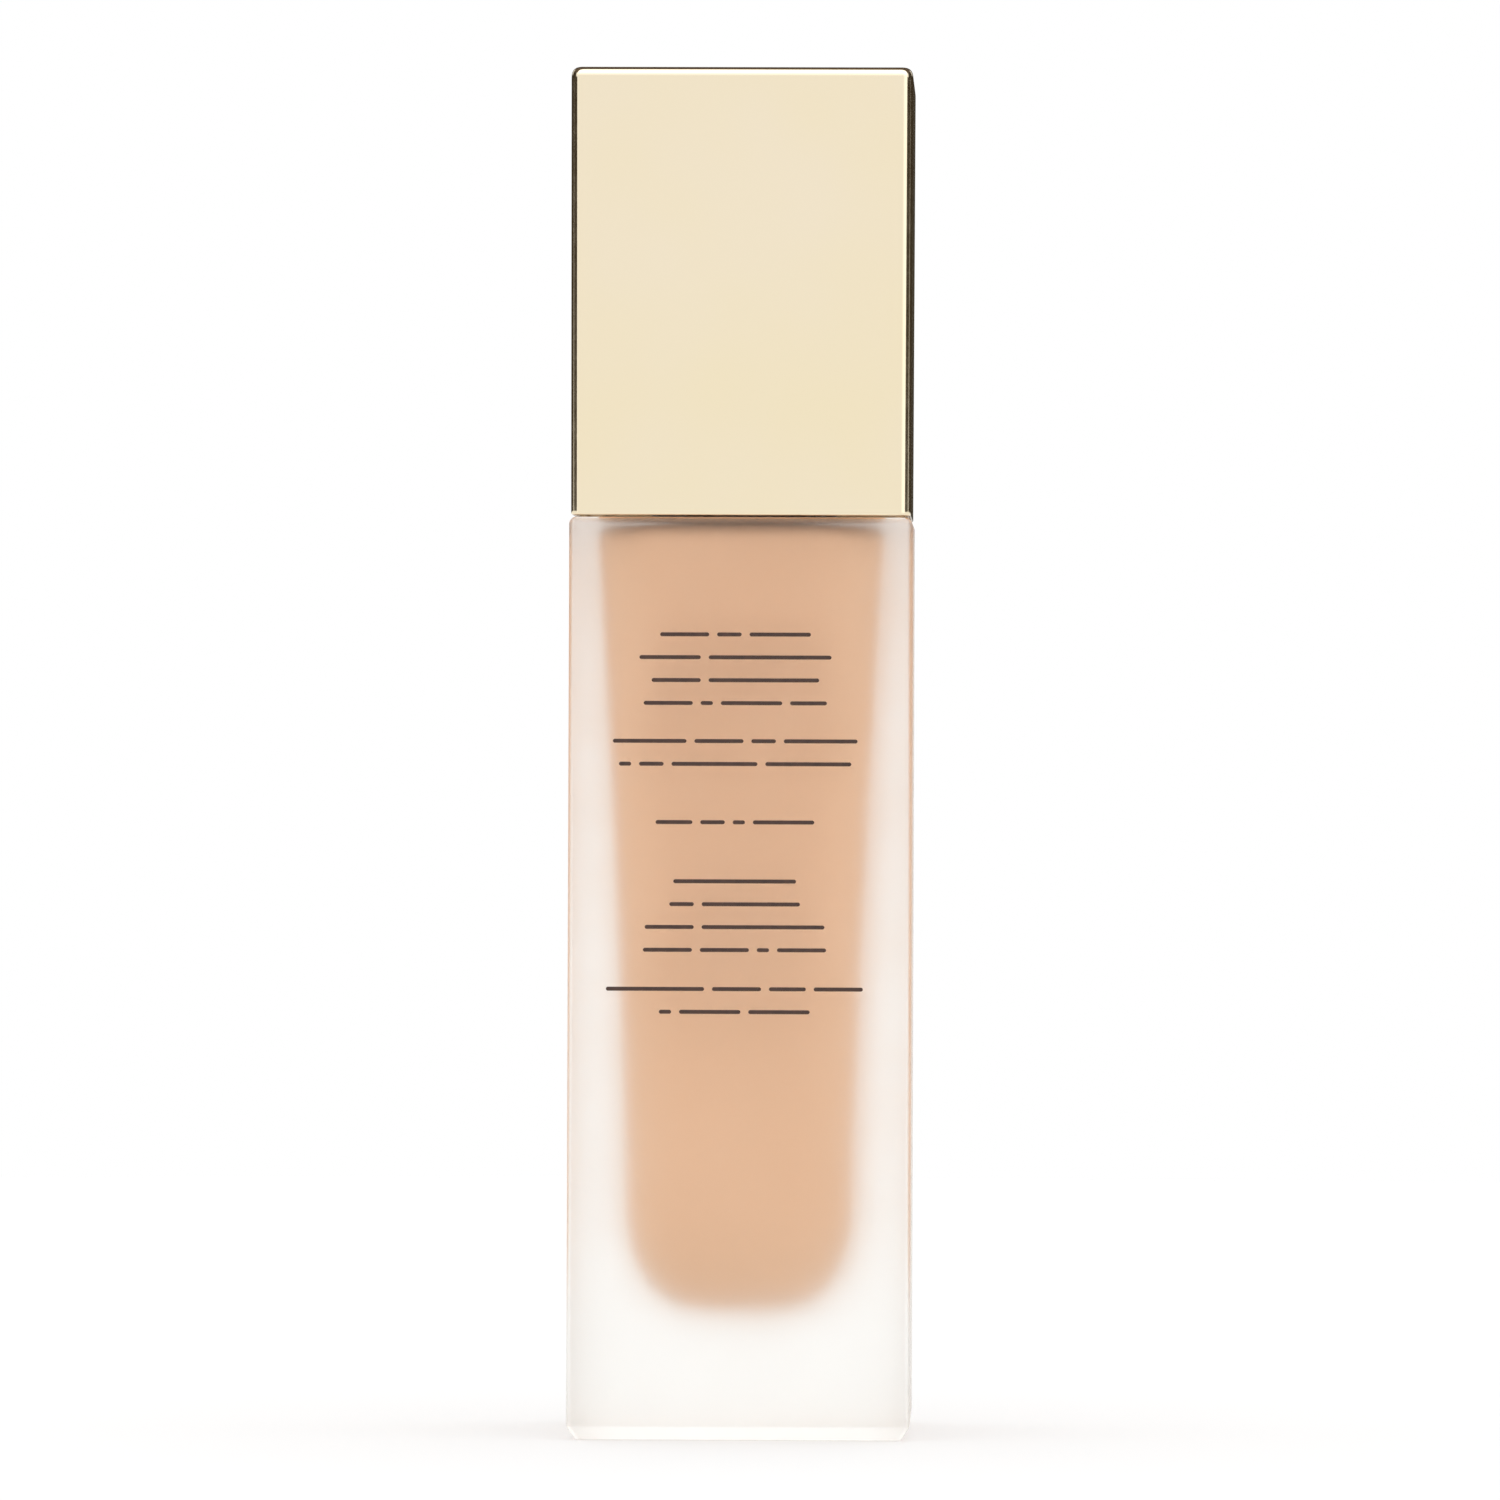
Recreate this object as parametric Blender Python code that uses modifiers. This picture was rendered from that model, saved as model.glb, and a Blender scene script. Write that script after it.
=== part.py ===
"""Foundation bottle: a square heavy-walled frosted glass bottle of tinted liquid, with a screw-on
lotion pump under a square gold overcap.

Metres, +Z up. The origin is the centre of the bottle's base and the front faces -Y. Sizes and
heights below are in millimetres, and heights are measured from the table. The helpers that make
meshes turn them into metres with MM.
"""

import math

import bmesh
import bpy
from mathutils import Matrix, Vector

MM = 0.001
GAP = 0.3  # clearance between pieces that touch

# Glass bottle
BOTTLE_WIDTH = 32.7
SHOULDER_Z = 88.0
SHOULDER_EDGE = 0.7  # radius of the edge round the shoulder
BODY_CORNER = 0.5  # radius of the four upright edges
BODY_CORNER_STEPS = 3
BASE_CHAMFER_WIDTH = 0.8
BASE_CHAMFER_HEIGHT = 1.3
CAVITY_FLOOR_Z = 12.0
CAVITY_ROUND_Z = 22.5  # below this the cavity rounds in to its floor
CAVITY_CEILING_Z = 86.4
CAVITY_CEILING_EDGE = 1.4
CAVITY_HALF_LOW = 11.0
CAVITY_HALF_GAIN = 2.8  # how much the half width grows from the round to the ceiling
CAVITY_CORNER = 6.0
CAVITY_CORNER_STEPS = 6

# Neck finish: 20 mm, eight threads to the inch, right-handed
NECK_TOP_Z = SHOULDER_Z + 13.7
NECK_RADIUS = 8.95
NECK_BORE = 7.0
NECK_LIP = 0.5  # radius of the lip's edge
NECK_FOOT = 0.5  # chamfer where the neck meets the shoulder
THREAD_PITCH = 25.4 / 8
THREAD_TURNS = 1.5
THREAD_DEPTH = 0.9
THREAD_ROOT = 0.4  # how far a ridge is sunk in the wall that carries it
THREAD_START_Z = 94.4
TOOTH_FOOT = 0.75  # half the tooth's width where it leaves the wall
TOOTH_CREST = 0.3  # half its width at the crest

# Closure and its metal collar
CLOSURE_BORE = 10.15
CLOSURE_RADIUS = 11.3
CLOSURE_BOTTOM_Z = 89.0
GASKET_THICK = 0.9
GASKET_BORE = NECK_BORE + 0.3
FLANGE_THICK = 1.0
GASKET_Z = NECK_TOP_Z + GAP
FLANGE_Z = GASKET_Z + GASKET_THICK + GAP
FLANGE_TOP_Z = FLANGE_Z + FLANGE_THICK
CLOSURE_ROOF_Z = FLANGE_TOP_Z + GAP
CLOSURE_TOP_Z = CLOSURE_ROOF_Z + 1.2
FERRULE_WALL = 0.5
FERRULE_RADIUS = CLOSURE_RADIUS + GAP + FERRULE_WALL
FERRULE_ROOF_Z = CLOSURE_TOP_Z + GAP
FERRULE_TOP_Z = FERRULE_ROOF_Z + 0.6
FERRULE_EDGE = 1.0
PUMP_HOLE = 6.4  # hole in the closure and the collar that the housing's rim comes up through

# Pump housing
BARREL_RADIUS = 5.5
BARREL_BORE = 4.3
RIM_RADIUS = 5.9
RIM_TOP_Z = 106.5
FLANGE_RADIUS = 9.6
GASKET_RADIUS = FLANGE_RADIUS - 0.1
BARREL_FLOOR_Z = 80.5
BARREL_FOOT_Z = BARREL_FLOOR_Z - 0.5  # where the barrel's outside starts to taper
VALVE_RADIUS = 3.3
VALVE_TOP_Z = BARREL_FLOOR_Z - 2.0
CHAMBER_BORE = 1.9
CHAMBER_ROOF_Z = BARREL_FLOOR_Z - 0.6
STOP_BORE = CHAMBER_BORE - 0.65  # narrower than the ball, which it stops
STOP_SLOT_LENGTH = 3.5
STOP_SLOT_WIDTH = 0.8
VENT_RADIUS = 0.4
VENT_DROP = 3.0  # from the flange down to the vent
SEAT_TOP_Z = 76.7
SEAT_BORE = 0.9
SEAT_BOTTOM_Z = SEAT_TOP_Z - (CHAMBER_BORE - SEAT_BORE)  # a 45 degree seat
VALVE_BOTTOM_Z = SEAT_BOTTOM_Z - 0.4
SOCKET_ROOF_Z = SEAT_BOTTOM_Z - 0.8
SOCKET_BOTTOM_Z = 68.5
SOCKET_RADIUS = 2.9
SOCKET_BORE = 1.9

# Dip tube and inlet ball
TUBE_RADIUS = SOCKET_BORE - GAP
TUBE_BORE = 1.0
TUBE_BOTTOM_Z = 13.0
BALL_RADIUS = 1.5
# A ball this far above the seat's cone clears it by GAP all round.
BALL_Z = SEAT_TOP_Z - CHAMBER_BORE + (BALL_RADIUS + GAP) * math.sqrt(2)

# Stem, piston, plug and chaplet
STEM_RADIUS = 2.05
STEM_BORE = 0.9
STEM_SOCKET = 1.3
STEM_SOCKET_DEPTH = 2.7
STEM_SLOT_WIDTH = 0.9
STEM_SLOT_HEIGHT = 1.1
STEM_BOTTOM_Z = 95.7
STEM_TOP_Z = 115.8
SHOULDER_RING = 2.9  # the stem's ring that pushes the piston down
RING_Z = 100.6
RING_TOP_Z = 101.4
PISTON_RADIUS = BARREL_BORE - GAP
PISTON_BORE = STEM_RADIUS + GAP
PISTON_HEIGHT = 4.0
PISTON_HUB = 0.55  # wall round the stem
PISTON_WAIST = 0.4  # how far the rim is drawn in between its two lips
PISTON_GROOVE = 0.9  # depth of the groove at each end
LIP_TOP = 0.3  # thickness of a lip at its end
LIP_HEIGHT = 0.8
LIP_TAPER = 0.4
PLUG_HEAD_RADIUS = 3.0
PLUG_HEAD = 1.2
PLUG_TAIL_RADIUS = 1.5
PLUG_TAIL_TIP = 0.4
PLUG_BOTTOM_Z = 90.1
PLUG_SPIGOT = 0.95
PLUG_SPIGOT_HEIGHT = 2.3
CHAPLET_Z = RING_TOP_Z + GAP
CHAPLET_FLANGE_Z = RIM_TOP_Z + GAP
CHAPLET_TOP_Z = CHAPLET_FLANGE_Z + 0.8
CHAPLET_BORE = 2.4
CHAPLET_EDGE = 0.3

# Return spring
SPRING_RADIUS = 2.45
SPRING_WIRE = 0.3  # radius of the wire
SPRING_TURNS = 7
SPRING_POINTS = 12  # to a turn
SPRING_CLOSED_RISE = 2 * SPRING_WIRE + 0.05  # rise of the closed turn at each end

# Pump head
STROKE = 4.5
HEAD_RADIUS = 7.8
HEAD_BOTTOM_Z = FERRULE_TOP_Z + GAP + STROKE + 0.2
HEAD_TOP_Z = HEAD_BOTTOM_Z + 11.0
HEAD_WALL = 0.5
HEAD_EDGE = 0.8
HEAD_DISH = 0.7  # depth of the finger rest
CORE_RADIUS = HEAD_RADIUS - HEAD_WALL - GAP
CORE_TOP_Z = HEAD_TOP_Z - HEAD_DISH - HEAD_WALL - GAP - 0.1
CORE_EDGE = 0.5
CORE_SKIRT_BORE = RIM_RADIUS + GAP
CORE_HOLLOW_Z = HEAD_BOTTOM_Z + 3.0
BOSS_RADIUS = 3.4
BOSS_BOTTOM_Z = CHAPLET_TOP_Z + GAP + STROKE
NOZZLE_Z = HEAD_TOP_Z - 4.0
NOZZLE_RADIUS = 2.0
NOZZLE_BORE = 0.8
NOZZLE_EDGE = 0.5
NOZZLE_INNER = 4.3  # distance of its inner end from the axis
NOZZLE_TIP = 10.8  # distance of its outer end from the axis

# Overcap
CAP_WIDTH_TOP = 32.8
CAP_WIDTH_BOTTOM = 32.6
CAP_BOTTOM_Z = SHOULDER_Z + GAP
CAP_TOP_Z = 131.0
CAP_EDGE = 0.8
CAP_WALL = 0.6
LINER_WALL = 1.0
LINER_BOTTOM_Z = CAP_BOTTOM_Z + 0.5
LINER_TOP_Z = CAP_TOP_Z - CAP_WALL - GAP
LINER_WIDTH = CAP_WIDTH_BOTTOM - 2 * (CAP_WALL + GAP)
LINER_EDGE = 1.2
SLEEVE_BORE = FERRULE_RADIUS + GAP
SLEEVE_RADIUS = SLEEVE_BORE + 1.0
SLEEVE_BOTTOM_Z = LINER_BOTTOM_Z + 0.3
RIB_THICK = 1.0
RIB_BOTTOM_Z = LINER_BOTTOM_Z + 4.0


# --- Scene and helpers ---------------------------------------------------------------------

for old in list(bpy.data.objects):
    bpy.data.objects.remove(old, do_unlink=True)

parts = bpy.data.collections.new("foundation_bottle")
cutters = bpy.data.collections.new("cutters")
bpy.context.scene.collection.children.link(parts)
bpy.context.scene.collection.children.link(cutters)


def material(name, colour, roughness, metallic=0.0, transmission=0.0):
    """A Principled material of one colour."""
    made = bpy.data.materials.new(name)
    made.use_nodes = True
    shader = made.node_tree.nodes["Principled BSDF"]
    shader.inputs["Base Color"].default_value = (*colour, 1.0)
    shader.inputs["Roughness"].default_value = roughness
    shader.inputs["Metallic"].default_value = metallic
    shader.inputs["Transmission Weight"].default_value = transmission
    return made


def add(name, mesh, collection=parts):
    """Links a mesh as a new object, moved by nothing."""
    made = bpy.data.objects.new(name, mesh)
    collection.objects.link(made)
    if collection is cutters:
        made.hide_render = True
        made.display_type = "WIRE"
    return made


def axis_empty(name, height):
    """An empty on the bottle's axis that carries the pieces of one moving group."""
    empty = bpy.data.objects.new(name, None)
    empty.location = (0.0, 0.0, height * MM)
    parts.objects.link(empty)
    return empty


def carry(empty, *pieces):
    """Parents pieces to a group's empty and leaves them where they are."""
    for piece in pieces:
        piece.parent = empty
        piece.matrix_parent_inverse = Matrix.Translation(-empty.location)


def turned(name, profile, steps, collection=parts):
    """Turns a profile of (radius, height) about the axis with a Screw modifier.

    The profile runs down its outer side. It is closed on itself unless it starts and ends on
    the axis. The object's origin is on the axis, at the height of the profile's lowest point.
    """
    base = min(height for _, height in profile)
    points = [(radius * MM, 0.0, (height - base) * MM) for radius, height in profile]
    edges = [(i, i + 1) for i in range(len(points) - 1)]
    if profile[0][0] > 0.0:
        edges.append((len(points) - 1, 0))
    mesh = bpy.data.meshes.new(name)
    mesh.from_pydata(points, edges, [])
    made = add(name, mesh, collection)
    made.location.z = base * MM
    screw = made.modifiers.new("turn", "SCREW")
    screw.axis = "Z"
    screw.angle = 2 * math.pi
    screw.steps = steps
    screw.render_steps = steps
    screw.use_merge_vertices = True
    screw.merge_threshold = 1e-6
    return made


def arc(centre, radius, start, end, steps):
    """Points of (radius, height) along an arc between two angles in degrees."""
    points = []
    for step in range(steps + 1):
        angle = math.radians(start + (end - start) * step / steps)
        points.append((centre[0] + radius * math.cos(angle), centre[1] + radius * math.sin(angle)))
    return points


def box(name, size, centre, collection=cutters):
    """A block of the given size, from a cube primitive."""
    bm = bmesh.new()
    bmesh.ops.create_cube(bm, size=1.0)
    bmesh.ops.scale(bm, vec=Vector(size) * MM, verts=bm.verts)
    mesh = bpy.data.meshes.new(name)
    bm.to_mesh(mesh)
    bm.free()
    made = add(name, mesh, collection)
    made.location = Vector(centre) * MM
    return made


def rod(name, radius, start, end, steps=24):
    """A cylinder cutter between two points."""
    start, end = Vector(start) * MM, Vector(end) * MM
    run = end - start
    bm = bmesh.new()
    bmesh.ops.create_cone(
        bm, cap_ends=True, segments=steps, radius1=radius * MM, radius2=radius * MM,
        depth=run.length,
    )
    mesh = bpy.data.meshes.new(name)
    bm.to_mesh(mesh)
    bm.free()
    made = add(name, mesh, cutters)
    made.rotation_euler = run.to_track_quat("Z", "Y").to_euler()
    made.location = (start + end) / 2
    return made


def boolean(target, tool, operation):
    """Adds a Boolean modifier that joins a tool to the target or cuts it away."""
    step = target.modifiers.new(operation.lower(), "BOOLEAN")
    step.operation = operation
    step.solver = "EXACT"
    step.object = tool


def round_edges(target, width, segments):
    """Rounds the target's sharp edges."""
    bevel = target.modifiers.new("edges", "BEVEL")
    bevel.width = width * MM
    bevel.segments = segments
    bevel.limit_method = "ANGLE"
    bevel.angle_limit = math.radians(40)


def open_box(name, width_bottom, width_top, bottom, top, edge, wall, collection=parts):
    """A square cup standing on its rim: a box with no floor, rounded, then given its wall."""
    bm = bmesh.new()
    bmesh.ops.create_cube(bm, size=1.0)
    height = (top - bottom) * MM
    for vert in bm.verts:
        width = width_top if vert.co.z > 0 else width_bottom
        vert.co.x *= width * MM
        vert.co.y *= width * MM
        vert.co.z = height if vert.co.z > 0 else 0.0
    floor = [face for face in bm.faces if face.normal.z < -0.5]
    bmesh.ops.delete(bm, geom=floor, context="FACES_ONLY")
    mesh = bpy.data.meshes.new(name)
    bm.to_mesh(mesh)
    bm.free()
    made = add(name, mesh, collection)
    made.location.z = bottom * MM
    round_edges(made, edge, 3)
    solid = made.modifiers.new("wall", "SOLIDIFY")
    solid.thickness = wall * MM
    solid.offset = -1.0
    solid.use_even_offset = True
    return made


def swept(name, points, thickness, radii=None):
    """A POLY curve through points in millimetres, with its bevel left to the caller."""
    curve = bpy.data.curves.new(name, "CURVE")
    curve.dimensions = "3D"
    curve.twist_mode = "Z_UP"
    curve.use_fill_caps = True
    curve.bevel_depth = thickness * MM
    curve.bevel_resolution = 2
    spline = curve.splines.new("POLY")
    spline.points.add(len(points) - 1)
    for index, (point, place) in enumerate(zip(spline.points, points)):
        point.co = (*(Vector(place) * MM), 1.0)
        point.radius = radii[index] if radii else 1.0
    return curve


def thread_ridge(name, wall, first_turn, last_turn, outward):
    """A helical ridge on the neck's thread line, faded out at both ends.

    The wall's radius carries the ridge, and outward is 1 for the neck or -1 for the closure,
    whose ridge runs half a pitch lower, between the turns of the neck's.
    """
    per_turn = 24
    fade_steps = 4
    steps = round((last_turn - first_turn) * per_turn)
    drop = 0.0 if outward > 0 else THREAD_PITCH / 2
    points, radii = [], []
    for step in range(steps + 1):
        turn = first_turn + step / per_turn
        angle = 2 * math.pi * turn
        radius = wall - outward * THREAD_ROOT
        height = THREAD_START_Z + turn * THREAD_PITCH - drop
        points.append((radius * math.cos(angle), radius * math.sin(angle), height))
        radii.append(min(1.0, 0.2 + 0.8 * min(step, steps - step) / fade_steps))
    curve = swept(name, points, 0.0, radii)

    # The tooth's section: wide where it leaves the wall and narrower at its crest.
    reach = THREAD_ROOT + THREAD_DEPTH
    tooth = bpy.data.curves.new(name + "_section", "CURVE")
    tooth.dimensions = "2D"
    corners = [(0.0, -TOOTH_FOOT), (reach, -TOOTH_CREST), (reach, TOOTH_CREST), (0.0, TOOTH_FOOT)]
    line = tooth.splines.new("POLY")
    line.points.add(len(corners) - 1)
    for point, (across, along) in zip(line.points, corners):
        point.co = (outward * across * MM, along * MM, 0.0, 1.0)
    line.use_cyclic_u = True
    section = bpy.data.objects.new(name + "_section", tooth)
    cutters.objects.link(section)
    curve.bevel_mode = "OBJECT"
    curve.bevel_object = section

    guide = bpy.data.objects.new(name + "_guide", curve)
    cutters.objects.link(guide)
    bpy.context.view_layer.update()
    evaluated = guide.evaluated_get(bpy.context.evaluated_depsgraph_get())
    mesh = bpy.data.meshes.new_from_object(evaluated)
    bm = bmesh.new()
    bm.from_mesh(mesh)
    bmesh.ops.remove_doubles(bm, verts=bm.verts, dist=1e-6)
    bmesh.ops.recalc_face_normals(bm, faces=bm.faces)
    bm.to_mesh(mesh)
    bm.free()
    made = add(name, mesh, cutters)
    made.matrix_world = guide.matrix_world.copy()
    bpy.data.objects.remove(guide, do_unlink=True)
    bpy.data.objects.remove(section, do_unlink=True)
    return made


def finish(made, look):
    """Gives a part its material and smooth shading with crisp corners."""
    made.data.materials.append(look)
    made.data.shade_smooth()
    if made.type == "MESH" and made.data.polygons:
        made.data.set_sharp_from_angle(angle=math.radians(35))
    for modifier in made.modifiers:
        if modifier.type == "SCREW":
            modifier.use_smooth_shade = True
    return made


# --- Glass bottle and its liquid -----------------------------------------------------------


def cavity_half_width(height):
    """Half the width of the glass's inside at a height."""
    rise = max(height - CAVITY_ROUND_Z, 0.0) / (CAVITY_CEILING_Z - CAVITY_ROUND_Z)
    half = CAVITY_HALF_LOW + CAVITY_HALF_GAIN * rise ** 1.3
    if height < CAVITY_ROUND_Z:
        drop = (CAVITY_ROUND_Z - height) / (CAVITY_ROUND_Z - CAVITY_FLOOR_Z)
        half *= (1 - drop ** 2) ** (1 / 3.5)
    edge_start = CAVITY_CEILING_Z - CAVITY_CEILING_EDGE
    if height > edge_start:
        over = height - edge_start
        half -= CAVITY_CEILING_EDGE - math.sqrt(max(CAVITY_CEILING_EDGE ** 2 - over ** 2, 0.0))
    return half


def rounded_square(half, corner, height, steps):
    """One ring of a loft, anticlockwise, with round corners."""
    flat = half - corner
    ring = []
    for quarter in range(4):
        turn = Matrix.Rotation(quarter * math.pi / 2, 2)
        for step in range(steps + 1):
            angle = math.pi / 2 * step / steps
            place = Vector((flat + corner * math.cos(angle), flat + corner * math.sin(angle)))
            ring.append((*(turn @ place), height))
    return ring


def loft(name, sections, steps, collection):
    """A solid through rounded squares of (half width, corner radius, height), from the lowest up."""
    bm = bmesh.new()
    loops = []
    for half, corner, height in sections:
        ring = rounded_square(half, corner, height, steps)
        loops.append([bm.verts.new(Vector(point) * MM) for point in ring])
    for lower, upper in zip(loops, loops[1:]):
        for index in range(len(lower)):
            after = (index + 1) % len(lower)
            bm.faces.new((lower[index], lower[after], upper[after], upper[index]))
    bm.faces.new(reversed(loops[0]))
    bm.faces.new(loops[-1])
    mesh = bpy.data.meshes.new(name)
    bm.to_mesh(mesh)
    bm.free()
    return add(name, mesh, collection)


def cavity_solid(name, inset, collection):
    """The cavity's shape as a solid, drawn in by the inset all round."""
    low = [CAVITY_ROUND_Z - (CAVITY_ROUND_Z - CAVITY_FLOOR_Z) * math.sin(math.radians(angle))
           for angle in (80, 68, 56, 44, 30, 14, 0)]
    wall_steps = 5
    top = CAVITY_CEILING_Z - CAVITY_CEILING_EDGE
    wall = [CAVITY_ROUND_Z + (top - CAVITY_ROUND_Z) * step / wall_steps
            for step in range(1, wall_steps + 1)]
    edge = [top + CAVITY_CEILING_EDGE * math.sin(math.radians(angle)) for angle in (35, 65, 90)]
    middle = (CAVITY_CEILING_Z + CAVITY_FLOOR_Z) / 2
    squeeze = 1 - 2 * inset / (CAVITY_CEILING_Z - CAVITY_FLOOR_Z)
    sections = []
    for height in low + wall + edge:
        half = cavity_half_width(height) - inset
        corner = min(CAVITY_CORNER, 0.55 * half)
        sections.append((half, corner, middle + (height - middle) * squeeze))
    return loft(name, sections, CAVITY_CORNER_STEPS, collection)


def body_solid(name, collection):
    """The square body: a chamfer round its base, straight walls and a rounded shoulder."""
    half = BOTTLE_WIDTH / 2
    sections = [
        (half - BASE_CHAMFER_WIDTH, BODY_CORNER, 0.0),
        (half, BODY_CORNER, BASE_CHAMFER_HEIGHT),
    ]
    centre = (half - SHOULDER_EDGE, SHOULDER_Z - SHOULDER_EDGE)
    for reach, height in arc(centre, SHOULDER_EDGE, 0, 90, 3):
        sections.append((reach, BODY_CORNER, height))
    return loft(name, sections, BODY_CORNER_STEPS, collection)


def make_glass_bottle():
    """The square body, the threaded neck and the cavity."""
    body = body_solid("glass_bottle", parts)
    sunk = SHOULDER_Z - 1.0  # the neck's blank reaches this far into the shoulder
    foot = NECK_RADIUS + NECK_FOOT
    neck = [(0.0, NECK_TOP_Z)]
    neck += arc((NECK_RADIUS - NECK_LIP, NECK_TOP_Z - NECK_LIP), NECK_LIP, 90, 0, 2)
    neck += [(NECK_RADIUS, SHOULDER_Z + NECK_FOOT), (foot, SHOULDER_Z), (foot, sunk), (0.0, sunk)]
    boolean(body, turned("neck_blank", neck, 48, cutters), "UNION")
    boolean(body, thread_ridge("neck_thread", NECK_RADIUS, 0.0, THREAD_TURNS, 1), "UNION")
    boolean(body, cavity_solid("cavity", 0.0, cutters), "DIFFERENCE")
    bore = rod("neck_bore", NECK_BORE, (0, 0, CAVITY_CEILING_Z - 2), (0, 0, NECK_TOP_Z + 2), 48)
    boolean(body, bore, "DIFFERENCE")
    return body


def make_liquid():
    """The liquid: the cavity's shape, hollowed round the pump and the dip tube."""
    liquid = cavity_solid("foundation_liquid", GAP, parts)
    above = CAVITY_CEILING_Z + 2.0
    room = [
        (0.0, above),
        (BARREL_RADIUS + GAP, above),
        (BARREL_RADIUS + GAP, BARREL_FOOT_Z - GAP),
        (VALVE_RADIUS + GAP, VALVE_TOP_Z - GAP),
        (VALVE_RADIUS + GAP, SOCKET_BOTTOM_Z - GAP),
        (TUBE_RADIUS + GAP, SOCKET_BOTTOM_Z - GAP),
        (TUBE_RADIUS + GAP, TUBE_BOTTOM_Z - GAP),
        (0.0, TUBE_BOTTOM_Z - GAP),
    ]
    boolean(liquid, turned("pump_room", room, 24, cutters), "DIFFERENCE")
    return liquid


# --- Pump ----------------------------------------------------------------------------------


def make_pump_housing():
    """Rim, flange, barrel, ball chamber and dip-tube socket, in one moulding."""
    profile = [
        (RIM_RADIUS, RIM_TOP_Z),
        (RIM_RADIUS, FLANGE_TOP_Z),
        (FLANGE_RADIUS, FLANGE_TOP_Z),
        (FLANGE_RADIUS, FLANGE_Z),
        (BARREL_RADIUS, FLANGE_Z),
        (BARREL_RADIUS, BARREL_FOOT_Z),
        (VALVE_RADIUS, VALVE_TOP_Z),
        (VALVE_RADIUS, VALVE_BOTTOM_Z),
        (SOCKET_RADIUS, SOCKET_ROOF_Z),
        (SOCKET_RADIUS, SOCKET_BOTTOM_Z),
        (SOCKET_BORE, SOCKET_BOTTOM_Z),
        (SOCKET_BORE, SOCKET_ROOF_Z),
        (SEAT_BORE, SOCKET_ROOF_Z),
        (SEAT_BORE, SEAT_BOTTOM_Z),
        (CHAMBER_BORE, SEAT_TOP_Z),
        (CHAMBER_BORE, CHAMBER_ROOF_Z),
        (STOP_BORE, CHAMBER_ROOF_Z),
        (STOP_BORE, BARREL_FLOOR_Z),
        (BARREL_BORE, BARREL_FLOOR_Z),
        (BARREL_BORE, RIM_TOP_Z),
    ]
    housing = turned("pump_housing", profile, 32)
    # Slots across the ball's stop let liquid past it when the ball is up.
    middle = (BARREL_FLOOR_Z + CHAMBER_ROOF_Z) / 2
    height = BARREL_FLOOR_Z - CHAMBER_ROOF_Z + 0.4
    for label, size in (("x", (STOP_SLOT_LENGTH, STOP_SLOT_WIDTH, height)),
                        ("y", (STOP_SLOT_WIDTH, STOP_SLOT_LENGTH, height))):
        boolean(housing, box("stop_slot_" + label, size, (0, 0, middle)), "DIFFERENCE")
    # The vent lets air into the bottle as the liquid leaves it.
    vent_z = FLANGE_Z - VENT_DROP
    vent = rod("vent", VENT_RADIUS,
               (BARREL_BORE - 1, 0, vent_z), (BARREL_RADIUS + 1, 0, vent_z), 12)
    boolean(housing, vent, "DIFFERENCE")
    return housing


def make_dip_tube():
    """A straight tube from the housing's socket to the floor of the cavity."""
    top = SOCKET_ROOF_Z - GAP
    profile = [(TUBE_RADIUS, top), (TUBE_RADIUS, TUBE_BOTTOM_Z)]
    profile += [(TUBE_BORE, TUBE_BOTTOM_Z), (TUBE_BORE, top)]
    return turned("dip_tube", profile, 20)


def make_gasket():
    """The flat washer between the neck and the housing's flange."""
    top = GASKET_Z + GASKET_THICK
    profile = [(GASKET_RADIUS, top), (GASKET_RADIUS, GASKET_Z)]
    profile += [(GASKET_BORE, GASKET_Z), (GASKET_BORE, top)]
    return turned("neck_gasket", profile, 32)


def make_chaplet():
    """The ring in the housing's mouth that guides the stem and stops it coming out."""
    plug = BARREL_BORE - GAP
    profile = [
        (RIM_RADIUS - CHAPLET_EDGE, CHAPLET_TOP_Z),
        (RIM_RADIUS, CHAPLET_TOP_Z - CHAPLET_EDGE),
        (RIM_RADIUS, CHAPLET_FLANGE_Z),
        (plug, CHAPLET_FLANGE_Z),
        (plug, CHAPLET_Z),
        (CHAPLET_BORE, CHAPLET_Z),
        (CHAPLET_BORE, CHAPLET_TOP_Z),
    ]
    return turned("chaplet", profile, 32)


def make_return_spring():
    """A coil between the barrel's floor and the plug's head, closed up at both ends."""
    low = BARREL_FLOOR_Z + GAP + SPRING_WIRE
    high = STEM_BOTTOM_Z - GAP - PLUG_HEAD - GAP - SPRING_WIRE
    coils = SPRING_TURNS - 2  # the open ones
    open_rise = (high - low - 2 * SPRING_CLOSED_RISE) / coils
    steps = SPRING_TURNS * SPRING_POINTS
    points = []
    for step in range(steps + 1):
        turn = step / SPRING_POINTS
        angle = 2 * math.pi * turn
        open_turns = min(max(turn - 1, 0), coils)
        height = low + SPRING_CLOSED_RISE * (turn - open_turns) + open_rise * open_turns
        points.append((SPRING_RADIUS * math.cos(angle), SPRING_RADIUS * math.sin(angle), height))
    coil = bpy.data.objects.new("return_spring", swept("return_spring", points, SPRING_WIRE))
    parts.objects.link(coil)
    return coil


def make_inlet_ball():
    """The steel ball of the lower valve."""
    bm = bmesh.new()
    bmesh.ops.create_uvsphere(bm, u_segments=16, v_segments=10, radius=BALL_RADIUS * MM)
    mesh = bpy.data.meshes.new("inlet_ball")
    bm.to_mesh(mesh)
    bm.free()
    ball = add("inlet_ball", mesh)
    ball.location.z = BALL_Z * MM
    return ball


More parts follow.
